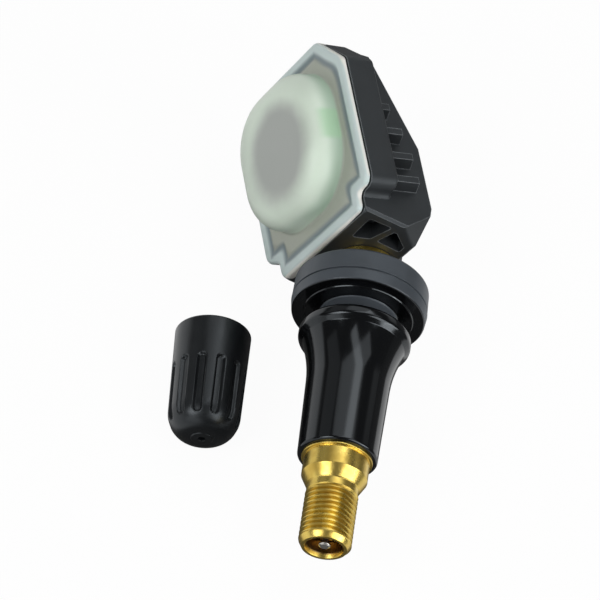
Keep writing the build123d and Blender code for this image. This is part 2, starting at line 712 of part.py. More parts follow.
def make_coil_winding():
    """Copper winding on the ferrite bobbin."""
    wide, long, tall = COIL_SIZE
    span = long - 2 * COIL_CHEEK - 2 * WINDING_END_GAP
    outer = block((wide - 2 * WINDING_MARGIN, span, tall - 2 * WINDING_MARGIN), (0, 0, -WINDING_MARGIN))
    return Pos(beside_wall(wide), COIL_Y, -LEDGE_DEPTH) * (outer - coil_waist())


def make_antenna():
    """Bent wire aerial standing on the board beside the cell."""
    top = BOARD_TOP + ANTENNA_HEIGHT
    near, far = (DOME_Y + place for place in ANTENNA_SPAN)
    x = HALF_WIDTH - CAVITY_INSET - BOARD_CLEARANCE - ANTENNA_EDGE
    points = ((x, near, BOARD_TOP), (x, near, top), (x, far, top), (x, far, BOARD_TOP))
    path = FilletPolyline(*points, radius=ANTENNA_BEND)
    return sweep(Plane(origin=points[0], z_dir=(0, 0, 1)) * Circle(ANTENNA_R), path)


def make_cap():
    """Moulded dust cap: ribbed tapering body, rounded end with a gate dimple, threaded bore."""
    taper = (CAP_MOUTH_R - CAP_WAIST_R) / CAP_WAIST
    shoulder = (CAP_MOUTH_R - taper * (CAP_LENGTH - CAP_CROWN), CAP_LENGTH - CAP_CROWN)
    apex = (0, CAP_LENGTH)
    face = make_face(
        Polyline(apex, (0, 0), (CAP_MOUTH_R - CAP_EDGE, 0), (CAP_MOUTH_R, CAP_EDGE), shoulder)
        + TangentArc(apex, shoulder, tangent=(1, 0))
    )
    corner = min(face.vertices(), key=lambda v: hypot(v.X - shoulder[0], v.Y - shoulder[1]))
    body = revolve(Plane.XZ * fillet(corner, CAP_END_ROUND), Axis.Z)
    lean = degrees(atan(taper))
    slot = rod(CAP_GROOVE_R, CAP_GROOVE_START, CAP_LENGTH) + Pos(0, 0, CAP_GROOVE_START) * Sphere(CAP_GROOVE_R)
    centre = CAP_MOUTH_R + CAP_GROOVE_R - CAP_GROOVE_CUT
    slot = Pos(centre, 0, 0) * Rot(0, -lean, 0) * slot
    grooves = [Rot(0, 0, (k + 0.5) * 360 / CAP_GROOVES) * slot for k in range(CAP_GROOVES)]
    body -= grooves
    body -= tube(CAP_RING_R, CAP_RING_R - CAP_RING_WIDTH, CAP_LENGTH - CAP_RING_DEPTH, CAP_LENGTH + 1)
    body -= rod(CAP_DIMPLE_R, CAP_LENGTH - CAP_DIMPLE_DEPTH, CAP_LENGTH + 1)
    body -= rod(CAP_SEAL_R + CAP_SEAL_CLEARANCE, -1, CAP_BORE_DEPTH + CAP_SEAL_THICK)
    return body - rod(CAP_BORE_R, -1, CAP_BORE_DEPTH) - rod(CAP_MOUTH_BORE_R, -1, CAP_MOUTH_DEPTH)


def make_pieces():
    """Every piece by its name, each placed in the row's frame."""
    gasket_top, cup_top, cup_foot = core_end()
    cell_top = CELL_BASE + CELL_THICK
    unit = {
        "housing": make_housing(),
        "lid": make_lid(),
        "battery_cell": Pos(0, DOME_Y, 0) * make_cell(),
        "battery_tab_positive": make_tab(cell_top + TAB_THICK, 45),
        "battery_tab_negative": make_tab(CELL_BASE, 225),
        "circuit_board": make_board(),
        "sensor_chip": make_sensor_chip(),
        "port_seal": make_port_seal(),
        "coil_core": make_coil_core(),
        "coil_winding": make_coil_winding(),
        "radio_chip": block(RADIO_SIZE, (-beside_wall(RADIO_SIZE[0]), RADIO_Y, -LEDGE_DEPTH)),
        "crystal": block(CRYSTAL_SIZE, (-beside_wall(CRYSTAL_SIZE[0]), CRYSTAL_Y, -LEDGE_DEPTH)),
        "antenna": make_antenna(),
    }
    stem = {
        "brass_stem": make_stem(),
        "rubber_boot": make_boot(),
        "stem_screw": make_screw(),
        "core_plug": make_core_plug(),
        "core_plug_seal": make_core_seal(),
        "core_barrel": make_core_barrel(),
        "core_pin": make_core_pin(),
        "core_cup": tube(CUP_R, PIN_R, cup_foot, cup_top),
        "core_gasket": tube(GASKET_R, PIN_R, cup_top, gasket_top),
        "core_spring": make_core_spring(),
    }
    cap = {
        "valve_cap": make_cap(),
        "cap_seal": rod(CAP_SEAL_R, CAP_BORE_DEPTH, CAP_BORE_DEPTH + CAP_SEAL_THICK),
    }
    placed = {}
    for place, group in ((UNIT, unit), (STEM, stem), (CAP, cap)):
        placed.update({name: place * part for name, part in group.items()})
    return placed


os.makedirs("parts", exist_ok=True)
for name, part in make_pieces().items():
    part.label = name
    export_step(part, f"parts/{name}.step")
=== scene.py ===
"""Looks of a snap-in tyre pressure sensor: battery lid, housing, brass valve stem and dust cap.

Lengths are millimetres unless a name says otherwise. Meshes are written in metres, in the frame of the
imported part. Profile rows are (radius, distance along the axis, corner round).
"""
import json
import logging
import math
from dataclasses import dataclass
from enum import Enum
from typing import Any, Iterable, Sequence

import bmesh
import bpy
from mathutils import Matrix, Vector


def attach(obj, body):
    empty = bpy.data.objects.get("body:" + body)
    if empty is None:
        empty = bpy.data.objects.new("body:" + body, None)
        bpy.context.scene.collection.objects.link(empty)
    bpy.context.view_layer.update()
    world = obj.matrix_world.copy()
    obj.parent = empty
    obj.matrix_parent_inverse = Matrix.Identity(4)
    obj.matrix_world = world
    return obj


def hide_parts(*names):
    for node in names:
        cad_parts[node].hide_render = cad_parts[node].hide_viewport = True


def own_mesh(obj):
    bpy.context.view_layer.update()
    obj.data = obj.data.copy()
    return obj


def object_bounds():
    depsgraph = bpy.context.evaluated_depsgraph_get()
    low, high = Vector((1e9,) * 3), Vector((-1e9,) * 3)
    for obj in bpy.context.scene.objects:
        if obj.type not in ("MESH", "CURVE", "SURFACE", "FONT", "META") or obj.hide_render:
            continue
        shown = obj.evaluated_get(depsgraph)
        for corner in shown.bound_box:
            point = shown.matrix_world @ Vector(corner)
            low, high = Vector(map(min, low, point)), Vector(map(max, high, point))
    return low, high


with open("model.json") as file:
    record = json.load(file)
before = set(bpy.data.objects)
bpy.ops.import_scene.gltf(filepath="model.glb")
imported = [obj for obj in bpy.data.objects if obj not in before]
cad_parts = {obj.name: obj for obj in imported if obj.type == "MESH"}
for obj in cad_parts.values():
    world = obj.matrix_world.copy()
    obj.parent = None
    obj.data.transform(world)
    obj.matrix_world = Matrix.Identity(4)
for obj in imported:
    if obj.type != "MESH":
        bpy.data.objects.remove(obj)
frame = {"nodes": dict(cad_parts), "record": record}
CAD_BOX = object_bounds()

Corner = tuple[float, float, float]
Colour = tuple[float, float, float]
Point = tuple[float, float]
Span = tuple[float, float]
Socket = bpy.types.NodeSocket
Ring = list[bmesh.types.BMVert]

LOG = logging.getLogger("tyre_sensor")
MM = 0.001
MERGE = 1e-5
THREAD_PITCH = 0.794
COOL_SHEEN = (0.86, 0.94, 1.0, 1.0)
NOISE_SPAN: Span = (0.3, 0.7)


class Body(Enum):
    """The bodies that the pieces ride on."""

    SENSOR = "sensor"
    CORE = "core"


class Slot(Enum):
    """The record's material slots."""

    HOUSING = "housing_plastic"
    LID = "lid_plastic"
    STEM = "stem_brass"
    BOOT = "boot_rubber"
    PIN = "pin_steel"
    CAP = "cap_plastic"


@dataclass(frozen=True)
class Place:
    """A sub-assembly's own axes in the part's frame.

    Attributes:
        origin: The local origin, in millimetres.
        x: Direction of the local X axis.
        z: Direction of the local Z axis.
    """

    origin: Sequence[float]
    x: Sequence[float]
    z: Sequence[float]

    def turn(self) -> Matrix:
        """Rotation from the local axes to the frame's."""
        x, z = Vector(self.x).normalized(), Vector(self.z).normalized()
        return Matrix((x, z.cross(x), z)).transposed()

    def matrix(self, rise: float = 0.0) -> Matrix:
        """Matrix from local millimetres, raised along Z, to the frame's metres."""
        placed = self.turn().to_4x4()
        placed.translation = Vector(self.origin)
        return Matrix.Scale(MM, 4) @ placed @ Matrix.Translation((0, 0, rise))


def unit_place(tilt: float, roll: float, lid_offset: float) -> Place:
    """Works out the sensor unit's axes from how it leans on the stem.

    Args:
        tilt: Angle between the lid and the stem's axis, in degrees.
        roll: Turn of the lid about the stem, in degrees.
        lid_offset: Distance from the stem's axis to the lid joint.

    Returns:
        The unit's place: X across the lid, Y away from the stem, Z out of the lid.
    """
    lean, spin = math.radians(tilt), math.radians(roll)
    inward = Vector((math.cos(lean) * math.cos(spin), math.sin(lean), -math.cos(lean) * math.sin(spin)))
    return Place(inward * -lid_offset, (math.sin(spin), 0, math.cos(spin)), -inward)


def cap_place(thread_middle: float) -> Place:
    """Works out the loose cap's axes from its thread in the record.

    Args:
        thread_middle: Distance from the cap's mouth to the middle of its thread.

    Returns:
        The cap's place: Z from the mouth to the closed end.
    """
    thread = next(m for m in frame["record"]["mounts"] if m["name"] == "cap_thread")
    run = -Vector(thread["axis"]).normalized()
    mouth = Vector(thread["pos_m"]) / MM - run * thread_middle
    return Place(mouth, (-run.y, run.x, 0), run)


STEM_PLACE = Place((0, 0, 0), (1, 0, 0), (0, -1, 0))
UNIT_PLACE = unit_place(tilt=20.53, roll=30.22, lid_offset=3.41)
CAP_PLACE = cap_place(thread_middle=5.8)


def opaque(colour: Any) -> Any:
    """Gives a plain colour its alpha and leaves a socket as it is."""
    return (*colour, 1.0) if isinstance(colour, tuple) else colour


def linked(name: str, data: bpy.types.ID) -> bpy.types.Object:
    """Makes an object of some data, puts it into the scene and returns it."""
    made = bpy.data.objects.new(name, data)
    bpy.context.scene.collection.objects.link(made)
    return made


class Wiring:
    """Adds and links nodes in one node tree. Values are numbers or sockets, results are sockets."""

    def __init__(self, tree: bpy.types.NodeTree) -> None:
        """Keeps the tree that the nodes go into."""
        self.tree = tree

    def add(self, kind: str, inputs: dict[Any, Any] | None = None, **settings: Any) -> bpy.types.Node:
        """Adds a node.

        Args:
            kind: The node's type name.
            inputs: Values or sockets for its inputs, by name or number.
            settings: Properties of the node itself.

        Returns:
            The new node.
        """
        node = self.tree.nodes.new(kind)
        for name, value in settings.items():
            setattr(node, name, value)
        for key, value in (inputs or {}).items():
            if isinstance(value, Socket):
                self.tree.links.new(value, node.inputs[key])
            else:
                node.inputs[key].default_value = value
        return node

    def calc(self, operation: str, *values: Any) -> Socket:
        """Works out one math operation."""
        return self.add("ShaderNodeMath", dict(enumerate(values)), operation=operation).outputs[0]

    def times(self, first: Any, second: Any) -> Socket:
        """Multiplies two values."""
        return self.calc("MULTIPLY", first, second)

    def plus(self, first: Any, second: Any) -> Socket:
        """Adds two values."""
        return self.calc("ADD", first, second)

    def less(self, first: Any, second: Any) -> Socket:
        """Takes the second value from the first."""
        return self.calc("SUBTRACT", first, second)

    def most(self, first: Any, second: Any) -> Socket:
        """Picks the larger value."""
        return self.calc("MAXIMUM", first, second)

    def least(self, first: Any, second: Any) -> Socket:
        """Picks the smaller value."""
        return self.calc("MINIMUM", first, second)

    def length(self, first: Any, second: Any) -> Socket:
        """Works out the length of two steps at right angles."""
        return self.calc("SQRT", self.plus(*(self.calc("POWER", step, 2.0) for step in (first, second))))

    def ramp(self, value: Any, low: Any, high: Any, start: float = 0.0, end: float = 1.0) -> Socket:
        """Maps a value smoothly from one range to another."""
        inputs = {"Value": value, "From Min": low, "From Max": high, "To Min": start, "To Max": end}
        return self.add("ShaderNodeMapRange", inputs, interpolation_type="SMOOTHSTEP").outputs[0]

    def fall(self, value: Any, low: Any, high: Any, start: float = 1.0) -> Socket:
        """Falls smoothly to nothing as a value passes a range."""
        return self.ramp(value, low, high, start, 0.0)

    def band(self, value: Any, start: float, full: float, fade: float, end: float) -> Socket:
        """Rises smoothly to one and falls back to nothing along a value."""
        return self.times(self.ramp(value, start, full), self.fall(value, fade, end))

    def blend(self, factor: Any, first: Any, second: Any) -> Socket:
        """Mixes two colours."""
        inputs = {0: factor, 6: opaque(first), 7: opaque(second)}
        return self.add("ShaderNodeMix", inputs, data_type="RGBA").outputs[2]

    def mix(self, factor: Any, first: Socket, second: Socket) -> Socket:
        """Mixes two shaders."""
        return self.add("ShaderNodeMixShader", {0: factor, 1: first, 2: second}).outputs[0]

    def noise(self, vector: Any, scale: float, detail: float = 2.0) -> Socket:
        """Adds a noise pattern, scale in features per metre."""
        return self.add("ShaderNodeTexNoise", {"Vector": vector, "Scale": scale, "Detail": detail}).outputs[0]

    def bump(self, height: Any, depth: float) -> Socket:
        """Turns a height into a bumped normal, depth in millimetres."""
        inputs = {"Height": height, "Distance": depth * MM, "Strength": 1.0}
        return self.add("ShaderNodeBump", inputs).outputs[0]

    def dot(self, first: Any, second: Any) -> Socket:
        """Works out how far two directions agree."""
        node = self.add("ShaderNodeVectorMath", {0: first, 1: second}, operation="DOT_PRODUCT")
        return node.outputs["Value"]

    def axes(self, vector: Socket) -> bpy.types.NodeOutputs:
        """Splits a vector into X, Y and Z."""
        return self.add("ShaderNodeSeparateXYZ", {0: vector}).outputs

    def from_stem(self, axes: bpy.types.NodeOutputs) -> Socket:
        """Works out the distance from the stem's axis, in millimetres."""
        return self.times(self.length(axes["X"], axes["Z"]), 1 / MM)


class Finish:
    """A procedural material on object coordinates."""

    name: str

    def shade(self, wiring: Wiring, spot: Socket) -> dict[str, Any]:
        """Says what goes into the shader's sockets.

        Args:
            wiring: The material's nodes.
            spot: Object coordinates, in metres.

        Returns:
            Values and sockets by the shader's socket names.
        """
        raise NotImplementedError

    def material(self) -> bpy.types.Material:
        """Makes the material once and returns it each time."""
        label = f"{self.name}_finish"
        known = bpy.data.materials.get(label)
        if known:
            return known
        made = bpy.data.materials.new(label)
        made.use_nodes = True
        wiring = Wiring(made.node_tree)
        shader = made.node_tree.nodes["Principled BSDF"]
        spot = wiring.add("ShaderNodeTexCoord").outputs["Object"]
        for socket, value in self.shade(wiring, spot).items():
            if isinstance(value, Socket):
                made.node_tree.links.new(value, shader.inputs[socket])
            else:
                shader.inputs[socket].default_value = opaque(value) if socket == "Base Color" else value
        return made


@dataclass(frozen=True)
class MouldedPlastic(Finish):
    """Filled nylon with a fine spark-eroded texture and a painted highlight along its edges."""

    name: str
    dark: Colour
    light: Colour
    gloss: Span
    grain: float = 7000.0
    depth: float = 0.012
    mottle: float = 260.0
    # edge: colour of the painted highlight along the edges
    edge: Colour = (0.19, 0.205, 0.215)
    edge_highlight_width: float = 0.26
    edge_turn: Span = (0.88, 0.985)
    edge_highlight_patchiness: Span = (0.3, 0.6)

    def shade(self, wiring: Wiring, spot: Socket) -> dict[str, Any]:
        """Mottled near-black with a grain in colour, roughness and bump, and a painted edge highlight."""
        cloud = wiring.noise(spot, self.mottle, 3.0)
        flat = wiring.add("ShaderNodeNewGeometry").outputs["Normal"]
        rounded = wiring.add("ShaderNodeBevel", {"Radius": self.edge_highlight_width * MM}, samples=6).outputs[0]
        # painted highlight: paler where the rounded normal turns from the flat one, patchy with the mottle
        turning = wiring.fall(wiring.dot(flat, rounded), *self.edge_turn)
        painted_edge_highlight = wiring.times(turning, wiring.ramp(cloud, *self.edge_highlight_patchiness, 0.5, 1.0))
        return {
            "Base Color": wiring.blend(painted_edge_highlight, wiring.blend(cloud, self.dark, self.light), self.edge),
            "Roughness": wiring.ramp(cloud, *NOISE_SPAN, *self.gloss),
            "Specular Tint": COOL_SHEEN,
            "Normal": wiring.bump(wiring.noise(spot, self.grain), self.depth),
        }


@dataclass(frozen=True)
class MouldedRubber(Finish):
    """Black rubber: matte with bloom on the flange and neck, polished elsewhere."""

    name: str
    polished: Colour = (0.0026, 0.0028, 0.0032)
    bloomed: Colour = (0.056, 0.065, 0.076)
    polish: float = 0.11
    matte: float = 0.48
    flange_end: float = -0.12
    neck: Span = (0.15, 2.45)
    neck_r: float = 6.3
    fade: float = 0.1
    bloom: float = 190.0
    bloom_span: Span = (0.2, 0.6)
    bloom_least: float = 0.75
    smear: Corner = (900, 60, 900)
    smear_span: Span = (0.35, 0.7)
    smear_gloss: float = 0.05
    skin: float = 5200.0
    skin_depth: float = 0.004

    def shade(self, wiring: Wiring, spot: Socket) -> dict[str, Any]:
        """Colour and gloss change along the stem, with cloudy bloom and a fine skin."""
        axes, fade = wiring.axes(spot), self.fade
        along = wiring.times(axes["Y"], -1 / MM)
        flange = wiring.fall(along, self.flange_end - fade, self.flange_end + fade)
        low, high = self.neck
        inner = wiring.fall(wiring.from_stem(axes), self.neck_r - fade, self.neck_r + fade)
        neck = wiring.times(wiring.band(along, low - fade, low, high, high + fade), inner)
        bloom = wiring.ramp(wiring.noise(spot, self.bloom, 4.0), *self.bloom_span, self.bloom_least, 1.0)
        matte = wiring.times(wiring.most(flange, neck), bloom)
        stretch = wiring.add("ShaderNodeMapping", {"Vector": spot, "Scale": self.smear}).outputs[0]
        smear = wiring.ramp(wiring.noise(stretch, 1.0, 3.0), *self.smear_span, 0.0, self.smear_gloss)
        gloss = wiring.plus(smear, self.polish)
        skin = wiring.times(wiring.noise(spot, self.skin), matte)
        return {
            "Base Color": wiring.blend(matte, self.polished, self.bloomed),
            "Roughness": wiring.plus(gloss, wiring.times(matte, self.matte - self.polish)),
            "Specular Tint": COOL_SHEEN,
            "Normal": wiring.bump(skin, self.skin_depth),
        }


@dataclass(frozen=True)
class TurnedMetal(Finish):
    """Lathe-turned metal with fine rings along one axis, darker inside a bore where it has one."""

    name: str
    bright: Colour
    dull: Colour
    gloss: Span = (0.20, 0.32)
    rings: float = 9000.0
    depth: float = 0.004
    tarnish: float = 420.0
    tarnish_span: Span = (0.35, 0.75)
    bore: Span | None = None
    bore_fade: Span = (0.1, 0.2)
    bore_darkening: Colour = (0.34, 0.22, 0.085)

    def shade(self, wiring: Wiring, spot: Socket) -> dict[str, Any]:
        """Rings follow the stem's axis; tarnish clouds the colour, and a bore is darker inside."""
        axes = wiring.axes(spot)
        along = wiring.add("ShaderNodeCombineXYZ", {"Y": axes["Y"]}).outputs[0]
        ring = wiring.noise(along, self.rings)
        tarnish = wiring.noise(spot, self.tarnish, 4.0)
        colour = wiring.blend(wiring.ramp(tarnish, *self.tarnish_span), self.bright, self.dull)
        if self.bore:
            (radius, end), (edge, depth) = self.bore, self.bore_fade
            below = wiring.fall(wiring.times(axes["Y"], -1 / MM), end - depth, end)
            inside = wiring.fall(wiring.from_stem(axes), radius - edge, radius)
            colour = wiring.blend(wiring.times(inside, below), colour, self.bore_darkening)
        return {
            "Base Color": colour,
            "Metallic": 1.0,
            "Roughness": wiring.ramp(tarnish, *NOISE_SPAN, *self.gloss),
            "Normal": wiring.bump(ring, self.depth),
        }


@dataclass(frozen=True)
class FrostedPlastic(Finish):
    """Natural, translucent moulding over the battery, with what lies behind it and light and shade painted
    into its colour.

    A fade is a range of distance over which a tint comes or goes: from the middle of what lies behind, from
    the lid's line or edge, across the lid (_across) or above its joint (_height). A weight is a tint's most.
    """

    name: str
    unit: "SensorUnit"
    dome: Colour = (0.68, 0.78, 0.67)
    # painted shade, darker towards the dome's far left
    left_shade: Colour = (0.53, 0.60, 0.52)
    flank: Colour = (0.46, 0.61, 0.48)
    # painted shade of the battery cell seen through the dome
    cell: Colour = (0.385, 0.41, 0.385)
    # the tab's green, painted in as seen through the dome
    tab: Colour = (0.42, 0.67, 0.43)
    # painted shade, darker over the cavity inside the line
    floor: Colour = (0.385, 0.41, 0.35)
    rim: Colour = (0.57, 0.665, 0.655)
    # painted highlight along the lid's outline
    edge: Colour = (0.82, 0.82, 0.76)
    # painted shade of the housing wall seen through the lid, along the line
    line: Colour = (0.17, 0.22, 0.24)
    left_shade_across: Span = (-10.5, -3.0)
    left_shade_weight: float = 0.9
    # painted light: the dome's lower side kept pale towards the left
    painted_light_across: Span = (-3.0, 5.0)
    pale_height: Span = (1.0, 4.4)
    painted_light_weight: float = 0.85
    # shift of the painted cell shade off the cell's middle, as seen from one side
    cell_shift: Span = (1.6, -1.3)
    cell_fade: Span = (5.6, 9.5)
    cell_height: Span = (3.6, 5.7)
    cell_wobble: float = 0.5
    wobble_span: Span = (0.2, 0.8)
    tab_shift: float = -1.0
    tab_fade: Span = (1.9, 3.0)
    tab_across: Span = (7.5, 10.5)
    tab_height: Span = (3.2, 5.0)
    tab_weight: float = 0.75
    dome_height: Span = (0.8, 1.3)
    floor_fade: Span = (-0.3, 0.3)
    line_fade: Span = (0.05, 0.85)
    line_shade_weight: float = 0.9
    edge_fade: Span = (0.15, 0.45)
    far_round: float = 2.0
    shoulder_round: float = 1.6
    mottle: float = 140.0
    gloss: Span = (0.34, 0.44)
    grain: float = 6000.0
    grain_depth: float = 0.003

    def from_outline(self, wiring: Wiring, x: Socket, y: Socket) -> Socket:
        """Works out how far inside the lid's outline a place lies.

        Args:
            wiring: The material's nodes.
            x: Distance across the lid, in millimetres.
            y: Distance along the lid, in millimetres.

        Returns:
            The distance, in millimetres.
        """
        unit = self.unit
        side = wiring.calc("ABSOLUTE", x)
        rise, run = unit.far_end - unit.corner_cut, unit.half_width - unit.far_half_width
        slant = math.hypot(rise, run)
        across = wiring.times(wiring.less(unit.half_width, side), rise / slant)
        along = wiring.times(wiring.less(unit.corner_cut, y), run / slant)
        far = wiring.least(wiring.plus(across, along), wiring.less(unit.far_end, y))
        spans = []
        for half, start in ((unit.half_width, unit.shoulder), (unit.nose_half_width, unit.nose_end)):
            span = wiring.least(wiring.less(half, side), wiring.less(y, start))
            spans.append(wiring.calc("SMOOTH_MIN", span, far, self.far_round))
        return wiring.calc("SMOOTH_MAX", *spans, self.shoulder_round)

    def dome_tint(self, wiring: Wiring, place: Sequence[Socket], cloud: Socket) -> Socket:
        """Tints the dome: painted shade far left, painted light lower left, and the cell and tab behind it
        painted in.

        Args:
            wiring: The material's nodes.
            place: Distances across, along and above the lid, in millimetres.
            cloud: Noise that makes the cell's edge uneven.

        Returns:
            The colour.
        """
        x, y, z = place
        away = wiring.less(y, self.unit.dome_y)
        # painted shade of the battery cell seen through the dome, set off its middle, with an uneven edge
        right, forward = self.cell_shift
        radius = wiring.length(wiring.less(x, right), wiring.less(away, forward))
        uneven = wiring.ramp(cloud, *self.wobble_span, -self.cell_wobble, self.cell_wobble)
        near_cell = wiring.fall(wiring.plus(radius, uneven), *self.cell_fade)
        painted_cell_shade = wiring.times(near_cell, wiring.ramp(z, *self.cell_height))
        # the tab's green painted in where it shows through the dome's lower side
        near_tab = wiring.fall(wiring.calc("ABSOLUTE", wiring.less(away, self.tab_shift)), *self.tab_fade)
        low = wiring.fall(z, *self.tab_height, self.tab_weight)
        over_tab = wiring.times(near_tab, wiring.times(wiring.ramp(x, *self.tab_across), low))
        # painted light: the lower side pale towards the left instead of the darker, greener flank
        left = wiring.fall(x, *self.painted_light_across, self.painted_light_weight)
        pale = wiring.most(wiring.ramp(z, *self.pale_height), left)
        # painted shade: the dome darker towards its far left
        shell = wiring.blend(wiring.fall(x, *self.left_shade_across, self.left_shade_weight), self.dome, self.left_shade)
        side = wiring.blend(pale, self.flank, shell)
        return wiring.blend(painted_cell_shade, wiring.blend(over_tab, side, self.tab), self.cell)

    def plate_tint(self, wiring: Wiring, inside: Socket) -> Socket:
        """Tints the plate: pale painted highlight at the edge, rim, dark painted shade on the line and floor,
        by the distance from the outline.
        """
        past_line = wiring.less(inside, self.unit.line_inset + 0.5 * self.unit.line_width)
        # painted shade: darker inside the line, over the cavity
        plate = wiring.blend(wiring.ramp(past_line, *self.floor_fade), self.rim, self.floor)
        # painted shade: dark line where the housing wall shows through, over a real shallow groove
        painted_line_shade = wiring.fall(wiring.calc("ABSOLUTE", past_line), *self.line_fade, self.line_shade_weight)
        plate = wiring.blend(painted_line_shade, plate, self.line)
        # painted highlight: paler right along the outline
        return wiring.blend(wiring.fall(inside, *self.edge_fade), plate, self.edge)

    def shade(self, wiring: Wiring, spot: Socket) -> dict[str, Any]:
        """The plate's tint low down, the dome's above it."""
        turn = UNIT_PLACE.turn().transposed()
        shift = -(turn @ Vector(UNIT_PLACE.origin)) * MM
        placed = {"Vector": spot, "Location": shift, "Rotation": turn.to_euler()}
        axes = wiring.axes(wiring.add("ShaderNodeMapping", placed).outputs[0])
        x, y, z = (wiring.times(axes[i], 1 / MM) for i in range(3))
        cloud = wiring.noise(spot, self.mottle, 3.0)
        dome = self.dome_tint(wiring, (x, y, z), cloud)
        plate = self.plate_tint(wiring, self.from_outline(wiring, x, y))
        return {
            "Base Color": wiring.blend(wiring.ramp(z, *self.dome_height), plate, dome),
            "Roughness": wiring.ramp(cloud, *NOISE_SPAN, *self.gloss),
            "Subsurface Weight": 0.3,
            "Subsurface Radius": (1.0, 1.15, 1.0),
            "Subsurface Scale": 0.0009,
            "Specular IOR Level": 0.45,
            "Normal": wiring.bump(wiring.noise(spot, self.grain), self.grain_depth),
        }


@dataclass(frozen=True)
class CircuitBoard(Finish):
    """Green solder mask with a faint pattern of tracks."""

    name: str
    mask: Colour = (0.015, 0.095, 0.035)
    track: Colour = (0.035, 0.16, 0.06)
    tracks: float = 900.0
    track_edge: Span = (0.04, 0.10)
    gloss: Span = (0.35, 0.28)
    depth: float = 0.02

    def shade(self, wiring: Wiring, spot: Socket) -> dict[str, Any]:
        """Tracks from a cell pattern."""
        inputs = {"Vector": spot, "Scale": self.tracks}
        cells = wiring.add("ShaderNodeTexVoronoi", inputs, feature="DISTANCE_TO_EDGE")
        lines = wiring.fall(cells.outputs[0], *self.track_edge)
        return {
            "Base Color": wiring.blend(lines, self.mask, self.track),
            "Roughness": wiring.ramp(lines, 0.0, 1.0, *self.gloss),
            "Normal": wiring.bump(lines, self.depth),
        }


@dataclass(frozen=True)
class WoundCopper(Finish):
    """Enamelled copper wire laid side by side."""

    name: str
    wire: Colour = (0.62, 0.25, 0.10)
    gap: Colour = (0.20, 0.07, 0.03)
    turns: float = 900.0
    waver: float = 0.4
    depth: float = 0.03

    def shade(self, wiring: Wiring, spot: Socket) -> dict[str, Any]:
        """Turns from a banded wave."""
        inputs = {"Vector": spot, "Scale": self.turns, "Distortion": self.waver}
        wave = wiring.add("ShaderNodeTexWave", inputs).outputs[1]
        return {
            "Base Color": wiring.blend(wave, self.gap, self.wire),
            "Metallic": 0.8,
            "Roughness": 0.3,
            "Normal": wiring.bump(wave, self.depth),
        }


HOUSING_NYLON = MouldedPlastic(
    "black_nylon", (0.0150, 0.0168, 0.0182), (0.0240, 0.0268, 0.0288), (0.46, 0.56),
)
# The cap's painted edge highlight is dark and narrow.
CAP_NYLON = MouldedPlastic(
    "cap_nylon", (0.0030, 0.0034, 0.0039), (0.0055, 0.0062, 0.0070), (0.28, 0.36), depth=0.004,
    edge=(0.03, 0.033, 0.036), edge_highlight_width=0.1,
)
CHIP_RESIN = MouldedPlastic("chip_resin", (0.010, 0.010, 0.011), (0.018, 0.018, 0.019), (0.5, 0.6))
FERRITE = MouldedPlastic("ferrite", (0.030, 0.028, 0.027), (0.055, 0.052, 0.050), (0.55, 0.7), grain=3000.0)
BOOT_RUBBER = MouldedRubber("boot_rubber")
SEAL_RUBBER = MouldedRubber("seal_rubber", (0.02, 0.02, 0.02), polish=0.5)
CORE_RING = MouldedRubber("core_ring", (0.30, 0.035, 0.02), (0.36, 0.05, 0.03), 0.4)
STEM_BRASS = TurnedMetal(
    "stem_brass", (0.73, 0.545, 0.135), (0.57, 0.39, 0.08), (0.25, 0.35), depth=0.009, bore=(2.9, 39.5),
)
CORE_BRASS = TurnedMetal("core_brass", (0.40, 0.25, 0.07), (0.22, 0.12, 0.03), (0.3, 0.45))
PIN_STEEL = TurnedMetal("pin_steel", (0.68, 0.66, 0.62), (0.40, 0.38, 0.35), (0.22, 0.42))
SCREW_STEEL = TurnedMetal("screw_steel", (0.58, 0.58, 0.57), (0.40, 0.40, 0.39), (0.25, 0.4))
CELL_STEEL = TurnedMetal("cell_steel", (0.66, 0.67, 0.66), (0.52, 0.53, 0.52), (0.25, 0.38), rings=2500.0)
TAB_STEEL = TurnedMetal("tab_steel", (0.70, 0.70, 0.68), (0.55, 0.55, 0.53), (0.25, 0.35), rings=4000.0)
BOARD = CircuitBoard("circuit_board")
COPPER = WoundCopper("wound_copper")

CARRIED_NODES: dict[str, Finish] = {
    "battery_cell": CELL_STEEL,
    "battery_tab_positive": TAB_STEEL,
    "battery_tab_negative": TAB_STEEL,
    "circuit_board": BOARD,
    "sensor_chip": CHIP_RESIN,
    "port_seal": SEAL_RUBBER,
    "coil_core": FERRITE,
    "coil_winding": COPPER,
    "radio_chip": CHIP_RESIN,
    "crystal": TAB_STEEL,
    "antenna": SCREW_STEEL,
    "stem_screw": SCREW_STEEL,
    "core_plug": CORE_BRASS,
    "core_plug_seal": CORE_RING,
    "core_barrel": CORE_BRASS,
    "core_cup": CORE_BRASS,
    "core_gasket": SEAL_RUBBER,
    "cap_seal": SEAL_RUBBER,
}


def within(value: float, start: float, full: float) -> float:
    """Share of the way from a start to a full value, from 0 to 1."""
    return min(max((value - start) / (full - start), 0.0), 1.0)


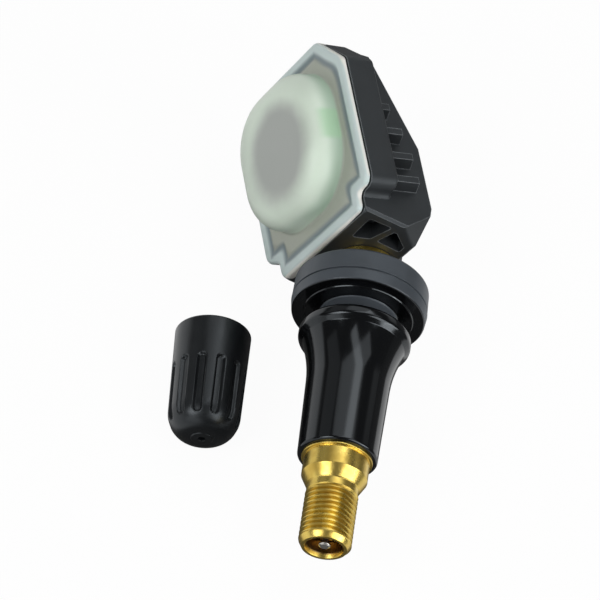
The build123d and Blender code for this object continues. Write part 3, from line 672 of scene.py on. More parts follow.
def soften(corners: Sequence[Corner], steps: int = 6) -> list[Point]:
    """Rounds the corners of a closed outline.

    Args:
        corners: (x, y, round) of each corner; a round of 0 stays sharp.
        steps: Chords in each rounded corner.

    Returns:
        The points of the rounded outline.
    """
    side_share, least_tangent, straight = 0.49, 1e-6, 1e-4
    points: list[Point] = []
    for i, (x, y, radius) in enumerate(corners):
        here = Vector((x, y))
        back = Vector(corners[i - 1][:2]) - here
        ahead = Vector(corners[(i + 1) % len(corners)][:2]) - here
        turn = math.pi - back.angle(ahead)
        if radius <= 0:
            points.append((x, y))
            continue
        half = max(math.tan(turn / 2), least_tangent)
        reach = min(radius * half, side_share * back.length, side_share * ahead.length)
        start = here + back.normalized() * reach
        centre = start
        if turn > straight:
            inwards = (back.normalized() + ahead.normalized()).normalized()
            centre = here + inwards * (reach / half / math.cos(turn / 2))
        spoke = start - centre
        sense = 1 if back.x * ahead.y - back.y * ahead.x < 0 else -1
        for k in range(steps + 1):
            a = sense * turn * k / steps
            points.append((
                centre.x + spoke.x * math.cos(a) - spoke.y * math.sin(a),
                centre.y + spoke.x * math.sin(a) + spoke.y * math.cos(a),
            ))
    return points


def inset(corners: Sequence[Corner], distance: float) -> list[Corner]:
    """Moves each side of a counter-clockwise outline inwards and adapts its rounds.

    Args:
        corners: (x, y, round) of each corner.
        distance: How far the sides move.

    Returns:
        The moved corners.
    """
    least_round = 0.05
    moved: list[Corner] = []
    for i, (x, y, radius) in enumerate(corners):
        here = Vector((x, y))
        into = (here - Vector(corners[i - 1][:2])).normalized()
        away = (Vector(corners[(i + 1) % len(corners)][:2]) - here).normalized()
        first, second = Vector((-into.y, into.x)), Vector((-away.y, away.x))
        place = here + (first + second) * (distance / (1 + first.dot(second)))
        outer = into.x * away.y - into.y * away.x > 0
        moved.append((place.x, place.y, max(least_round, radius - distance if outer else radius + distance)))
    return moved


class Shell:
    """Collects rings of points and joins them into one mesh."""

    def __init__(self) -> None:
        """Starts an empty mesh."""
        self.mesh = bmesh.new()

    def ring(self, points: Iterable[Point], height: float) -> Ring:
        """Adds a closed ring of points at a height and returns its vertices."""
        return [self.mesh.verts.new((x, y, height)) for x, y in points]

    def join(self, low: Ring, high: Ring) -> None:
        """Joins two rings of the same count with a band of faces."""
        for i in range(len(low)):
            j = (i + 1) % len(low)
            self.mesh.faces.new((low[i], low[j], high[j], high[i]))

    def stack(self, rings: Sequence[Ring]) -> None:
        """Joins each ring to the next."""
        for low, high in zip(rings, rings[1:]):
            self.join(low, high)

    def fill(self, *rings: Ring) -> None:
        """Fills a flat face between rings, or inside one."""
        edges = []
        for ring in rings:
            for pair in zip(ring, ring[1:] + ring[:1]):
                edges.append(self.mesh.edges.get(pair) or self.mesh.edges.new(pair))
        bmesh.ops.triangle_fill(self.mesh, use_beauty=True, edges=edges)

    def finish(self, name: str, place: Matrix | None = None) -> bpy.types.Mesh:
        """Closes the mesh, turns its faces outwards and puts it in its place.

        Args:
            name: The mesh's name.
            place: Matrix from local millimetres to the frame, if it goes there now.

        Returns:
            The mesh.
        """
        bmesh.ops.remove_doubles(self.mesh, verts=self.mesh.verts[:], dist=MERGE)
        bmesh.ops.recalc_face_normals(self.mesh, faces=self.mesh.faces[:])
        if place:
            bmesh.ops.transform(self.mesh, matrix=place, verts=self.mesh.verts[:])
        made = bpy.data.meshes.new(name)
        self.mesh.to_mesh(made)
        self.mesh.free()
        return made


def turned(profile: Sequence[Point], columns: int, name: str, place: Matrix | None = None) -> bpy.types.Mesh:
    """Turns a closed (radius, height) outline about the local Z axis.

    Args:
        profile: The outline's points, in order.
        columns: Faces around the axis.
        name: The mesh's name.
        place: Matrix from local millimetres to the frame, if it goes there now.

    Returns:
        The turned mesh.
    """
    shell = Shell()
    angles = [2 * math.pi * k / columns for k in range(columns)]
    spokes = [(math.cos(a), math.sin(a)) for a in angles]
    rings = [shell.ring([(max(r, 0.0) * x, max(r, 0.0) * y) for x, y in spokes], z) for r, z in profile]
    shell.stack(rings + rings[:1])
    bmesh.ops.dissolve_degenerate(shell.mesh, dist=MERGE, edges=shell.mesh.edges[:])
    return shell.finish(name, place)


class NodeShape:
    """A mesh made by a geometry node tree."""

    def __init__(self, name: str, sizes: dict[str, float]) -> None:
        """Starts a tree with a named input for each size."""
        self.tree = bpy.data.node_groups.new(name, "GeometryNodeTree")
        face = self.tree.interface
        face.new_socket("Geometry", in_out="INPUT", socket_type="NodeSocketGeometry")
        for size in sizes:
            face.new_socket(size, in_out="INPUT", socket_type="NodeSocketFloat")
        face.new_socket("Finish", in_out="INPUT", socket_type="NodeSocketMaterial")
        face.new_socket("Geometry", in_out="OUTPUT", socket_type="NodeSocketGeometry")
        self.sizes = sizes
        self.wiring = Wiring(self.tree)
        self.inputs = self.wiring.add("NodeGroupInput").outputs

    def helix(self, steps: int, height: Socket) -> Socket:
        """Adds a helix on the Z axis, with the tree's Radius and Turns.

        Args:
            steps: Chords in each turn.
            height: Rise of the whole helix.

        Returns:
            The curve.
        """
        size = self.inputs
        return self.wiring.add("GeometryNodeCurveSpiral", {
            "Resolution": steps, "Rotations": size["Turns"], "Height": height,
            "Start Radius": size["Radius"], "End Radius": size["Radius"],
        }).outputs[0]

    def sweep(self, curve: Socket, section: Socket) -> None:
        """Ends the tree with a section swept along a curve, closed at its ends."""
        inputs = {"Curve": curve, "Profile Curve": section, "Fill Caps": True}
        self.close(self.wiring.add("GeometryNodeCurveToMesh", inputs).outputs[0])

    def close(self, geometry: Socket) -> None:
        """Ends the tree with real geometry that carries its finish."""
        real = self.wiring.add("GeometryNodeRealizeInstances", {0: geometry}).outputs[0]
        dressed = self.wiring.add("GeometryNodeSetMaterial", {0: real, "Material": self.inputs["Finish"]})
        self.wiring.add("NodeGroupOutput", {0: dressed.outputs[0]})

    def mesh(self, start: bpy.types.Mesh, finish: Finish) -> bpy.types.Mesh:
        """Runs the tree.

        Args:
            start: The mesh that goes into the tree.
            finish: The material that comes out of it.

        Returns:
            The finished plain mesh.
        """
        holder = linked(self.tree.name, start)
        modifier = holder.modifiers.new("shape", "NODES")
        modifier.node_group = self.tree
        values = {**self.sizes, "Finish": finish.material()}
        for item in self.tree.interface.items_tree:
            if item.in_out == "INPUT" and item.name in values:
                modifier[item.identifier] = values[item.name]
        graph = bpy.context.evaluated_depsgraph_get()
        made = bpy.data.meshes.new_from_object(holder.evaluated_get(graph))
        holder.modifiers.remove(modifier)
        bpy.data.objects.remove(holder)
        return made


def outward_faces(mesh: bpy.types.Mesh) -> None:
    """Turns every face of a closed mesh outwards."""
    work = bmesh.new()
    work.from_mesh(mesh)
    bmesh.ops.recalc_face_normals(work, faces=work.faces[:])
    work.to_mesh(mesh)
    work.free()


@dataclass(frozen=True)
class ThreadRidge:
    """A thread's ridge along a helix on the local Z axis, running out at both ends."""

    name: str
    radius: float
    depth: float
    length: float
    inward: bool = False
    crest: float = 0.15
    foot: float = 0.12
    flank: float = 30.0  # degrees
    run_out: float = 1.6  # full heights gained in a turn
    least: float = 0.02  # share of the height at the ends
    steps: int = 96

    def mesh(self, finish: Finish) -> bpy.types.Mesh:
        """Makes the ridge with its material."""
        side = 1 if self.inward else -1
        height = self.depth + self.foot
        shape = NodeShape(self.name, {
            "Radius": self.radius, "Pitch": THREAD_PITCH, "Turns": self.length / THREAD_PITCH,
            "Crest": self.crest, "Base": self.crest + 2 * math.tan(math.radians(self.flank)) * height,
            "Height": height, "Offset": side * (self.depth - self.foot) / 2, "Turn": -side * math.pi / 2,
        })
        w, size = shape.wiring, shape.inputs
        helix = shape.helix(self.steps, w.times(size["Pitch"], size["Turns"]))
        helix = w.add("GeometryNodeSetCurveNormal", {0: helix}, mode="Z_UP").outputs[0]
        passed = w.times(w.add("GeometryNodeSplineParameter").outputs["Factor"], size["Turns"])
        nearest = w.least(passed, w.less(size["Turns"], passed))
        grown = w.most(w.least(w.times(nearest, self.run_out), 1.0), self.least)
        helix = w.add("GeometryNodeSetCurveRadius", {0: helix, "Radius": grown}).outputs[0]
        section = w.add("GeometryNodeCurvePrimitiveQuadrilateral", {
            "Bottom Width": size["Base"], "Top Width": size["Crest"], "Height": size["Height"], "Offset": 0.0,
        }, mode="TRAPEZOID").outputs[0]
        section = w.add("GeometryNodeTransform", {
            "Geometry": section,
            "Translation": w.add("ShaderNodeCombineXYZ", {"X": size["Offset"]}).outputs[0],
            "Rotation": w.add("ShaderNodeCombineXYZ", {"Z": size["Turn"]}).outputs[0],
        }).outputs[0]
        shape.sweep(helix, section)
        made = shape.mesh(bpy.data.meshes.new(self.name), finish)
        outward_faces(made)
        return made


def drilled(solid: bpy.types.Mesh, drill: bpy.types.Mesh) -> bpy.types.Mesh:
    """Cuts one closed mesh out of another.

    Args:
        solid: The mesh that is cut.
        drill: The mesh that cuts.

    Returns:
        The cut mesh.
    """
    work, tool = linked("work", solid), linked("tool", drill)
    cut = work.modifiers.new("cut", "BOOLEAN")
    cut.operation, cut.solver, cut.object = "DIFFERENCE", "EXACT", tool
    graph = bpy.context.evaluated_depsgraph_get()
    made = bpy.data.meshes.new_from_object(work.evaluated_get(graph))
    bpy.data.objects.remove(work)
    bpy.data.objects.remove(tool)
    return made


def add_piece(
    name: str, mesh: bpy.types.Mesh, finish: Finish, replaces: Sequence[str] = (),
    body: Body = Body.SENSOR, sharp: float = 35.0,
) -> bpy.types.Object:
    """Puts a finished mesh into the scene as a piece of the part.

    Args:
        name: The piece's name.
        mesh: Its mesh, in the frame's metres.
        finish: Its material.
        replaces: Nodes of the part that it stands for.
        body: The body that it rides on.
        sharp: Edges that turn by more than this many degrees stay sharp.

    Returns:
        The piece.
    """
    mesh.materials.clear()
    mesh.materials.append(finish.material())
    mesh.polygons.foreach_set("use_smooth", [True] * len(mesh.polygons))
    mesh.set_sharp_from_angle(angle=math.radians(sharp))
    piece = linked(name, mesh)
    normals = piece.modifiers.new("face_weighted_normals", "WEIGHTED_NORMAL")
    normals.keep_sharp = True
    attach(piece, body.value)
    if replaces:
        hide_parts(*replaces)
    LOG.info("%s: %d faces", name, len(mesh.polygons))
    return piece


@dataclass
class SensorUnit:
    """Housing and frosted lid."""

    half_width: float = 15.15
    far_end: float = 42.4
    far_half_width: float = 9.0
    corner_cut: float = 36.4
    shoulder: float = 14.6
    nose_half_width: float = 11.85
    nose_end: float = 11.7
    keyed_shoulder: float = 16.3
    rounds: tuple[float, ...] = (1.3, 1.3, 1.9, 1.6, 1.6)  # right corners, nose to far end
    keyed_rounds: Corner = (1.9, 0.8, 2.0)  # left shoulder, its notch, nose
    lid_inset: float = 0.22
    lip: Span = (0.26, 0.95)  # how far the edge laps out and down
    lap_left: Span = (6.0, 9.0)  # where the lap sets in, to the left
    lap_far: Span = (36.0, 39.0)  # and along the unit
    lap_right: Span = (13.5, 9.5)  # where it ends at the far end's right
    lid_thick: float = 0.8
    lid_round: float = 0.65
    lid_foot: tuple[Point, ...] = ((0.12, 0.0), (0.02, 0.05))  # in from the edge, height
    lid_steps: int = 6
    line_inset: float = 1.8
    line_width: float = 0.9
    line_depth: float = 0.24
    line_round: float = 1.6
    line_steps: int = 6
    spigot: Corner = (1.0, 1.1, 1.5)  # distance from the outline, wall, depth
    dome_y: float = 27.65
    dome_half: float = 11.5
    dome_corner: float = 9.2
    dome_least_corner: float = 0.4
    dome_top: float = 6.15
    dome_round: float = 3.5
    dome_draft: float = 4.0
    dome_wall: float = 0.8
    dome_cove: float = 0.45
    dome_steps: tuple[int, int, int] = (5, 4, 12)  # cove, side, round
    corner_steps: int = 16
    edge_break: float = 0.14
    merge: float = 2e-6  # metres
    flat: float = 0.6  # degrees
    bevelled: float = 28.0  # degrees

    def outline(self, keyed: bool) -> list[Corner]:
        """The unit's outline with its corner rounds, plain or with the keyed left shoulder."""
        places = [
            (self.nose_half_width, self.nose_end),
            (self.nose_half_width, self.shoulder),
            (self.half_width, self.shoulder),
            (self.half_width, self.corner_cut),
            (self.far_half_width, self.far_end),
        ]
        half = [(*place, radius) for place, radius in zip(places, self.rounds)]
        corners = half + [(-x, y, r) for x, y, r in reversed(half)]
        if keyed:
            shoulder, notch, nose = self.keyed_rounds
            corners[-3] = (-self.half_width, self.keyed_shoulder, shoulder)
            corners[-2] = (*corners[-2][:2], notch)
            corners[-1] = (*corners[-1][:2], nose)
        return corners

    def edge_ring(self, shell: Shell, distance: float, height: float, drop: float) -> Ring:
        """One ring of the lid's edge, which laps over the housing along its left side and far end.

        Args:
            shell: The mesh that it goes into.
            distance: How far the ring lies inside the lid's edge.
            height: Its height above the lid joint.
            drop: How far it comes down where the edge laps over.

        Returns:
            The ring.
        """
        edge = inset(self.outline(True), self.lid_inset)
        plain, lapped = soften(inset(edge, distance)), soften(inset(edge, distance - self.lip[0]))
        ring = []
        for (x, y), (lap_x, lap_y) in zip(plain, lapped):
            far = within(y, *self.lap_far) * within(x, *self.lap_right)
            share = max(within(-x, *self.lap_left), far)
            share *= share * (3 - 2 * share)
            spot = (x + (lap_x - x) * share, y + (lap_y - y) * share, height - drop * share)
            ring.append(shell.mesh.verts.new(spot))
        return ring

    def dome_ring(self, shell: Shell, grow: float, height: float) -> Ring:
        """One ring of the dome, its sides moved out by an amount."""
        half, corner = self.dome_half + grow, max(self.dome_least_corner, self.dome_corner + grow)
        square = [(half, -half, corner), (half, half, corner), (-half, half, corner), (-half, -half, corner)]
        return shell.ring([(x, y + self.dome_y) for x, y in soften(square, self.corner_steps)], height)

    def dome_rings(self, shell: Shell, wall: float, foot: float) -> list[Ring]:
        """Rings of the dome's outside or inside, from its foot to its flat top.

        Args:
            shell: The mesh that they go into.
            wall: Distance inside the dome's outside.
            foot: Height of its foot.

        Returns:
            The rings.
        """
        cove, (cove_steps, side_steps, round_steps) = self.dome_cove, self.dome_steps
        slope = math.tan(math.radians(self.dome_draft))
        top, bend = self.dome_top - wall, self.dome_round - wall
        rows: list[Point] = []
        if wall == 0:
            for k in range(cove_steps):
                a = math.radians(90 * k / cove_steps)
                rows.append((cove * (1 - math.sin(a)) - foot * slope, foot + cove * (1 - math.cos(a))))
            foot += cove
        start = top - bend
        for k in range(side_steps + 1):
            z = foot + (start - foot) * k / side_steps
            rows.append((-wall - z * slope, z))
        for k in range(1, round_steps + 1):
            a = math.radians(90 * k / round_steps)
            rows.append((-wall - start * slope - bend * (1 - math.cos(a)), start + bend * math.sin(a)))
        return [self.dome_ring(shell, grow, z) for grow, z in rows]

    def lid(self) -> bpy.types.Object:
        """The lid: rounded plate with its groove line, spigot and hollow battery dome."""
        shell = Shell()
        plain, step, top = self.outline(False), self.lid_round, self.lid_thick
        plate = [(*foot, self.lip[1]) for foot in self.lid_foot]
        for k in range(self.lid_steps + 1):
            a = math.radians(90 * k / self.lid_steps)
            plate.append((step * (1 - math.cos(a)), top - step + step * math.sin(a), 0.0))
        outside = [self.edge_ring(shell, *row) for row in plate]
        shares = [k / self.line_steps for k in range(self.line_steps + 1)]
        groove = [(self.line_width * (s - 0.5), 0.5 - 0.5 * math.cos(math.pi * s)) for s in shares]
        groove += [(self.line_width - d, deep) for d, deep in reversed(groove[:-1])]
        for d, deep in groove:
            corners = [(x, y, self.line_round) for x, y, _ in inset(plain, self.line_inset + d)]
            outside.append(shell.ring(soften(corners), top - self.line_depth * deep))
        shell.stack(outside)
        dome = self.dome_rings(shell, 0.0, top)
        shell.stack(dome)
        shell.fill(outside[-1], dome[0])
        shell.mesh.faces.new(dome[-1])

        start, wall, depth = self.spigot
        steps = ((start, 0.0), (start, -depth), (start + wall, -depth), (start + wall, 0.0))
        under = [shell.ring(soften(inset(plain, d)), z) for d, z in steps]
        shell.stack([outside[0], *under])
        hollow = self.dome_rings(shell, self.dome_wall, 0.0)
        shell.stack(hollow)
        shell.fill(under[-1], hollow[0])
        shell.mesh.faces.new(hollow[-1])
        mesh = shell.finish("battery_lid", UNIT_PLACE.matrix())
        return add_piece("battery_lid", mesh, FrostedPlastic("frosted_lid", self), ["lid"])

    def housing(self) -> bpy.types.Object:
        """The housing with its moulded edges broken, from a merged copy of its node."""
        work = bmesh.new()
        work.from_mesh(frame["nodes"]["housing"].data)
        bmesh.ops.remove_doubles(work, verts=work.verts[:], dist=self.merge)
        flat = math.radians(self.flat)
        bmesh.ops.dissolve_limit(work, angle_limit=flat, verts=work.verts[:], edges=work.edges[:])
        made = bpy.data.meshes.new("moulded_housing")
        work.to_mesh(made)
        work.free()
        if "custom_normal" in made.attributes:
            made.attributes.remove(made.attributes["custom_normal"])
        piece = add_piece("moulded_housing", made, HOUSING_NYLON, ["housing"])
        bevel = piece.modifiers.new("broken_edges", "BEVEL")
        bevel.width = self.edge_break * MM
        bevel.segments = 2
        bevel.limit_method = "ANGLE"
        bevel.angle_limit = math.radians(self.bevelled)
        bevel.use_clamp_overlap = True
        piece.modifiers.move(1, 0)
        return piece


@dataclass
class ValveStem:
    """Brass stem with its thread, rubber sleeve and the valve core's pin and spring."""

    spigot: Span = (3.3, -13.0)  # radius, end
    screw_r: float = 1.62
    base: float = -10.0
    foot_r: float = 4.8
    foot_slope: Span = (-4.2, -3.7)
    sleeve_r: float = 3.7
    ring_slope: Span = (22.5, 23.0)
    ring_r: float = 5.23
    ring_rebate: float = 0.6
    rubber_end: float = 25.15
    collar: Corner = (4.83, 25.5, 28.4)  # radius, start, end
    cone_end: float = 30.1
    thread_r: float = 3.86
    thread_root: float = 3.43
    thread_span: Span = (31.2, 39.25)
    neck: Span = (3.78, 31.25)  # radius, end
    tip: Corner = (3.3, 39.1, 39.95)  # radius, chamfer's start, end
    mouth: Corner = (2.84, 2.62, 0.7)  # radius, radius behind the chamfer, its depth
    bore: tuple[Corner, ...] = (
        (2.62, 34.0, 0), (2.05, 32.8, 0), (2.05, 24.3, 0), (1.25, 23.6, 0), (1.25, -8.1, 0), (1.62, -8.5, 0),
    )
    air_hole: Span = (0.9, -7.7)  # radius, place
    drill_reach: float = 20.0
    drill_columns: int = 32
    sharp: float = 24.0
    gap: float = 0.02
    flange_back: float = -5.6
    flange: tuple[Corner, ...] = (
        (10.2, -5.6, 0.6), (10.3, -2.12, 0.06), (10.02, -2.07, 0.05), (10.02, -1.84, 0.05),
        (10.35, -1.77, 0.1), (10.1, 0.0, 0.28), (8.36, 0.0, 0.06), (8.26, 0.16, 0.06), (8.1, 0.16, 0.06),
        (8.0, 0.0, 0.06),
        (5.8, 0.0, 0.4), (5.8, 2.5, 0.1), (6.97, 2.5, 0.35), (8.47, 3.45, 0.85), (8.47, 4.85, 0.8),
    )
    flare_start: Span = (5.6, 0.3)  # place, round
    flare: tuple[float, ...] = (6.3, 7.0, 7.6, 8.2, 8.8, 9.5, 10.3, 11.3, 12.5, 16.0, 20.0)
    taper: Corner = (12.5, 6.25, 0.0303)  # start of the straight side, its radius, its slope
    flare_bend: float = 20.1
    sleeve_end: float = 5.88
    pin_rows: tuple[Corner, ...] = (
        (0, 26.19, 0), (0.45, 26.19, 0.1), (0.45, 34.0, 0), (0.98, 34.0, 0.05), (0.98, 34.4, 0.05),
        (0.45, 34.4, 0), (0.45, 39.15, 0.05), (0.87, 39.28, 0.06), (0.87, 39.55, 0.14), (0.62, 39.7, 0.1),
        (0, 39.7, 0),
    )
    pin_columns: int = 48
    spring_span: Span = (29.3, 34.0)
    spring_coil: float = 0.82
    spring_wire: float = 0.14
    spring_clear: float = 1.05  # of the wire's radius, at each end
    spring_turns: float = 5.0
    spring_steps: tuple[int, int] = (32, 10)  # in a turn, around the wire
    press: float = 1.5
    columns: int = 160

    def brass(self) -> None:
        """The turned brass with its stepped bore, and the helical thread on its tip."""
        spigot_r, spigot_end = self.spigot
        rebate_r = self.ring_r - self.ring_rebate
        collar_r, collar_start, collar_end = self.collar
        neck_r, neck_end = self.neck
        tip_r, tip_start, tip_end = self.tip
        mouth_r, seat_r, chamfer = self.mouth
        outside: list[Corner] = [
            (self.screw_r, spigot_end, 0.2), (spigot_r, spigot_end, 0.25), (spigot_r, self.base, 0),
            (self.foot_r, self.base, 0.15), (self.foot_r, self.foot_slope[0], 0),
            (self.sleeve_r, self.foot_slope[1], 0), (self.sleeve_r, self.ring_slope[0], 0),
            (rebate_r, self.ring_slope[1], 0), (rebate_r, self.rubber_end, 0),
            (self.ring_r, self.rubber_end + self.gap, 0.06), (self.ring_r, collar_start, 0.12),
            (collar_r, collar_start, 0.08), (collar_r, collar_end, 0.12),
            (self.thread_r + 0.06, self.cone_end, 0.1), (neck_r, self.cone_end + 0.1, 0.1),
            (neck_r, neck_end, 0.1), (self.thread_root, neck_end + 0.3, 0.05),
            (self.thread_root, tip_start - 0.4, 0.05), (self.thread_r - 0.04, tip_start - 0.05, 0.12),
            (tip_r, tip_end, 0.12),
        ]
        mouth: list[Corner] = [(mouth_r, tip_end, 0.1), (seat_r, tip_end - chamfer, 0.1)]
        profile = soften([*outside, *mouth, *self.bore], 4)
        solid = turned(profile, self.columns, "stem_solid", STEM_PLACE.matrix())
        (radius, place), reach = self.air_hole, self.drill_reach
        across = Place((0, -place, 0), (0, 1, 0), (1, 0, 0))
        rod = [(0, -reach), (radius, -reach), (radius, reach), (0, reach)]
        drill = turned(rod, self.drill_columns, "air_drill", across.matrix())
        mesh = drilled(solid, drill)
        add_piece("turned_stem", mesh, STEM_BRASS, ["brass_stem"], sharp=self.sharp)

        low, high = self.thread_span
        depth = self.thread_r - self.thread_root
        ridge = ThreadRidge("stem_thread", self.thread_root, depth, high - low).mesh(STEM_BRASS)
        ridge.transform(STEM_PLACE.matrix(low))
        add_piece("stem_thread", ridge, STEM_BRASS)

    def rubber(self) -> bpy.types.Object:
        """The moulded rubber: flange with parting line and sealing ring, groove, bead and flared sleeve."""
        foot_r, sleeve_r = self.foot_r + self.gap, self.sleeve_r + self.gap
        rebate_r = self.ring_r - self.ring_rebate + self.gap
        start, start_round = self.flare_start
        profile = soften([
            (foot_r, self.flange_back, 0.1), *self.flange, (self.flare_radius(start), start, start_round),
            *((self.flare_radius(s), s, 0.0) for s in self.flare),
            (self.sleeve_end, self.rubber_end, 0.45), (rebate_r, self.rubber_end, 0.06),
            (rebate_r, self.ring_slope[1], 0), (sleeve_r, self.ring_slope[0], 0),
            (sleeve_r, self.foot_slope[1], 0), (foot_r, self.foot_slope[0], 0),
        ])
        mesh = turned(profile, self.columns, "rubber_sleeve", STEM_PLACE.matrix())
        return add_piece("rubber_sleeve", mesh, BOOT_RUBBER, ["rubber_boot"])

    def flare_radius(self, s: float) -> float:
        """Radius of the sleeve along the stem: an arc that runs into a straight taper."""
        start, radius, slope = self.taper
        straight = radius - (s - start) * slope
        if s >= start:
            return straight
        return straight + self.flare_bend - math.sqrt(self.flare_bend ** 2 - (start - s) ** 2)

    def pin(self) -> bpy.types.Object:
        """The steel pin of the valve core, with its rounded head."""
        mesh = turned(soften(self.pin_rows, 4), self.pin_columns, "core_pin_steel", STEM_PLACE.matrix())
        return add_piece("core_pin_steel", mesh, PIN_STEEL, ["core_pin"], Body.CORE)

    def spring(self) -> bpy.types.Object:
        """The valve core's coil spring, made at one length; the real one shortens as the pin goes in."""
        low, high = self.spring_span
        clear = self.spring_clear * self.spring_wire
        shape = NodeShape("core_coil_spring", {
            "Radius": self.spring_coil, "Wire": self.spring_wire, "Turns": self.spring_turns,
            "Rise": high - low - 2 * clear,
        })
        around, across = self.spring_steps
        circle = {"Resolution": across, "Radius": shape.inputs["Wire"]}
        wire = shape.wiring.add("GeometryNodeCurvePrimitiveCircle", circle).outputs[0]
        shape.sweep(shape.helix(around, shape.inputs["Rise"]), wire)
        mesh = shape.mesh(bpy.data.meshes.new("core_coil_spring"), PIN_STEEL)
        mesh.transform(STEM_PLACE.matrix(low + clear))
        outward_faces(mesh)
        piece = add_piece("core_coil_spring", mesh, PIN_STEEL, ["core_spring"])
        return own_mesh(piece)


@dataclass
class DustCap:
    """The loose cap: fluted tapering body with a gate dimple and a threaded bore."""

    mouth_r: float = 5.85
    taper: float = 0.4 / 15.6  # of the height
    length: float = 18.5
    end_start: float = 14.2
    end_flat_r: float = 2.15
    end_steps: int = 36
    gate: Span = (1.72, 0.15)  # radius, rise
    dimple: Corner = (0.56, 0.44, 1.1)  # radii at mouth and floor, depth
    mouth: Span = (4.35, 1.2)  # radius of the recess, depth
    seat: Span = (3.6, 11.5)  # radius of the seal's pocket, its floor
    bore: Span = (3.95, 10.3)  # radius, depth
    side_rows: tuple[float, ...] = (
        3.0, 6.0, 6.4, 6.5, 6.6, 6.7, 6.8, 6.9, 7.0, 7.1, 7.2, 7.3, 7.4, 7.5, 8.2, 9.6, 11.0, 12.5,
    )
    flutes: int = 12
    flute_half: Span = (0.42, 0.80)  # half widths of floor and mouth
    flute_cut: float = 0.5
    flute_span: Span = (7.3, 15.8)
    flute_turn: float = 6.5  # degrees
    outer_r: float = 4.45  # flutes press outside this
    columns_per_flute: int = 28
    thread: Corner = (1.6, 2.2, 0.33)  # start, bare length, depth

    def side(self, z: float) -> float:
        """Radius of the plain tapering side at a height."""
        return self.mouth_r - self.taper * z

    def profile(self) -> list[Point]:
        """The cap's section before fluting, from the mouth round to the bore."""
        gate_r, gate_rise = self.gate
        dimple_r, dimple_floor, dimple_depth = self.dimple
        recess_r, recess = self.mouth
        seat_r, seat = self.seat
        bore_r, bore = self.bore
        flat = self.length - gate_rise
        wide, tall = self.side(self.end_start) - self.end_flat_r, flat - self.end_start
        corners: list[Corner] = [(recess_r, 0, 0.12), (self.mouth_r, 0, 0.35)]
        corners += [(self.side(z), z, 0) for z in self.side_rows]
        for k in range(self.end_steps + 1):
            a = math.radians(90 * k / self.end_steps)
            corners.append((self.end_flat_r + wide * math.cos(a), self.end_start + tall * math.sin(a), 0))
        corners += [
            (gate_r, flat, 0.1), (gate_r - gate_rise, self.length, 0.12), (dimple_r, self.length, 0.1),
            (dimple_floor, self.length - dimple_depth, 0.1), (0, self.length - dimple_depth - 0.05, 0),
            (0, seat, 0), (seat_r, seat, 0), (seat_r, bore, 0), (bore_r, bore, 0), (bore_r, recess + 0.3, 0),
            (recess_r, recess, 0),
        ]
        return soften(corners, 12)

    def fluted(self, plain: bpy.types.Mesh) -> bpy.types.Mesh:
        """Presses the flutes into the plain body.

        Args:
            plain: The turned body, on the local Z axis in millimetres.

        Returns:
            The fluted body.
        """
        shape = NodeShape("cap_flutes", {
            "Flutes": float(self.flutes), "Turn": math.radians(self.flute_turn), "Depth": self.flute_cut,
            "Start": self.flute_span[0], "End": self.flute_span[1], "Outside": self.outer_r,
            "Floor Half Width": self.flute_half[0], "Half Width": self.flute_half[1],
        })
        w, size = shape.wiring, shape.inputs
        axes = w.axes(w.add("GeometryNodeInputPosition").outputs[0])
        radius = w.length(axes["X"], axes["Y"])
        around = w.plus(w.calc("ARCTAN2", axes["Y"], axes["X"]), size["Turn"])
        share = w.calc("FRACT", w.times(w.calc("DIVIDE", around, 2 * math.pi), size["Flutes"]))
        angle = w.calc("DIVIDE", w.times(w.less(share, 0.5), 2 * math.pi), size["Flutes"])
        across = w.times(radius, w.calc("SINE", angle))
        before = w.most(w.less(size["Start"], axes["Z"]), 0.0)
        after = w.most(w.less(axes["Z"], size["End"]), 0.0)
        away = w.length(across, w.plus(before, after))
        deep = w.fall(away, size["Floor Half Width"], size["Half Width"])
        pressed = w.less(radius, w.times(deep, size["Depth"]))
        factor = w.calc("DIVIDE", pressed, w.most(radius, 0.01))
        moved = w.add("ShaderNodeCombineXYZ", {
            "X": w.times(axes["X"], factor), "Y": w.times(axes["Y"], factor), "Z": axes["Z"],
        }).outputs[0]
        outer = w.calc("GREATER_THAN", radius, size["Outside"])
        inputs = {0: size["Geometry"], "Selection": outer, "Position": moved}
        shape.close(w.add("GeometryNodeSetPosition", inputs).outputs[0])
        return shape.mesh(plain, CAP_NYLON)

    def build(self) -> None:
        """Makes the fluted body and the thread in its bore."""
        plain = turned(self.profile(), self.flutes * self.columns_per_flute, "cap_plain")
        body = self.fluted(plain)
        body.transform(CAP_PLACE.matrix())
        add_piece("fluted_cap", body, CAP_NYLON, ["valve_cap"])
        (bore_r, bore), (start, bare, depth) = self.bore, self.thread
        ridge = ThreadRidge("cap_thread", bore_r, depth, bore - bare, inward=True).mesh(CAP_NYLON)
        ridge.transform(CAP_PLACE.matrix(start))
        add_piece("cap_thread", ridge, CAP_NYLON)


@dataclass
class SoftBox:
    """An area lamp that faces the part.

    Attributes:
        aim: Direction from the part to the lamp.
        distance: Distance from the part, in metres.
        size: Width and height, in metres.
        radiance: Brightness of its face, where 1 is white.
    """

    name: str
    aim: Sequence[float]
    distance: float
    size: Span
    radiance: float

    def add(self, target: Vector) -> None:
        """Adds the lamp, facing the target."""
        lamp = bpy.data.lights.new(self.name, "AREA")
        lamp.shape, lamp.size, lamp.size_y = "RECTANGLE", *self.size
        lamp.energy = self.radiance * math.pi * self.size[0] * self.size[1]
        holder = linked(self.name, lamp)
        way = Vector(self.aim).normalized()
        holder.location = target + way * self.distance
        holder.rotation_euler = way.to_track_quat("Z", "Y").to_euler()


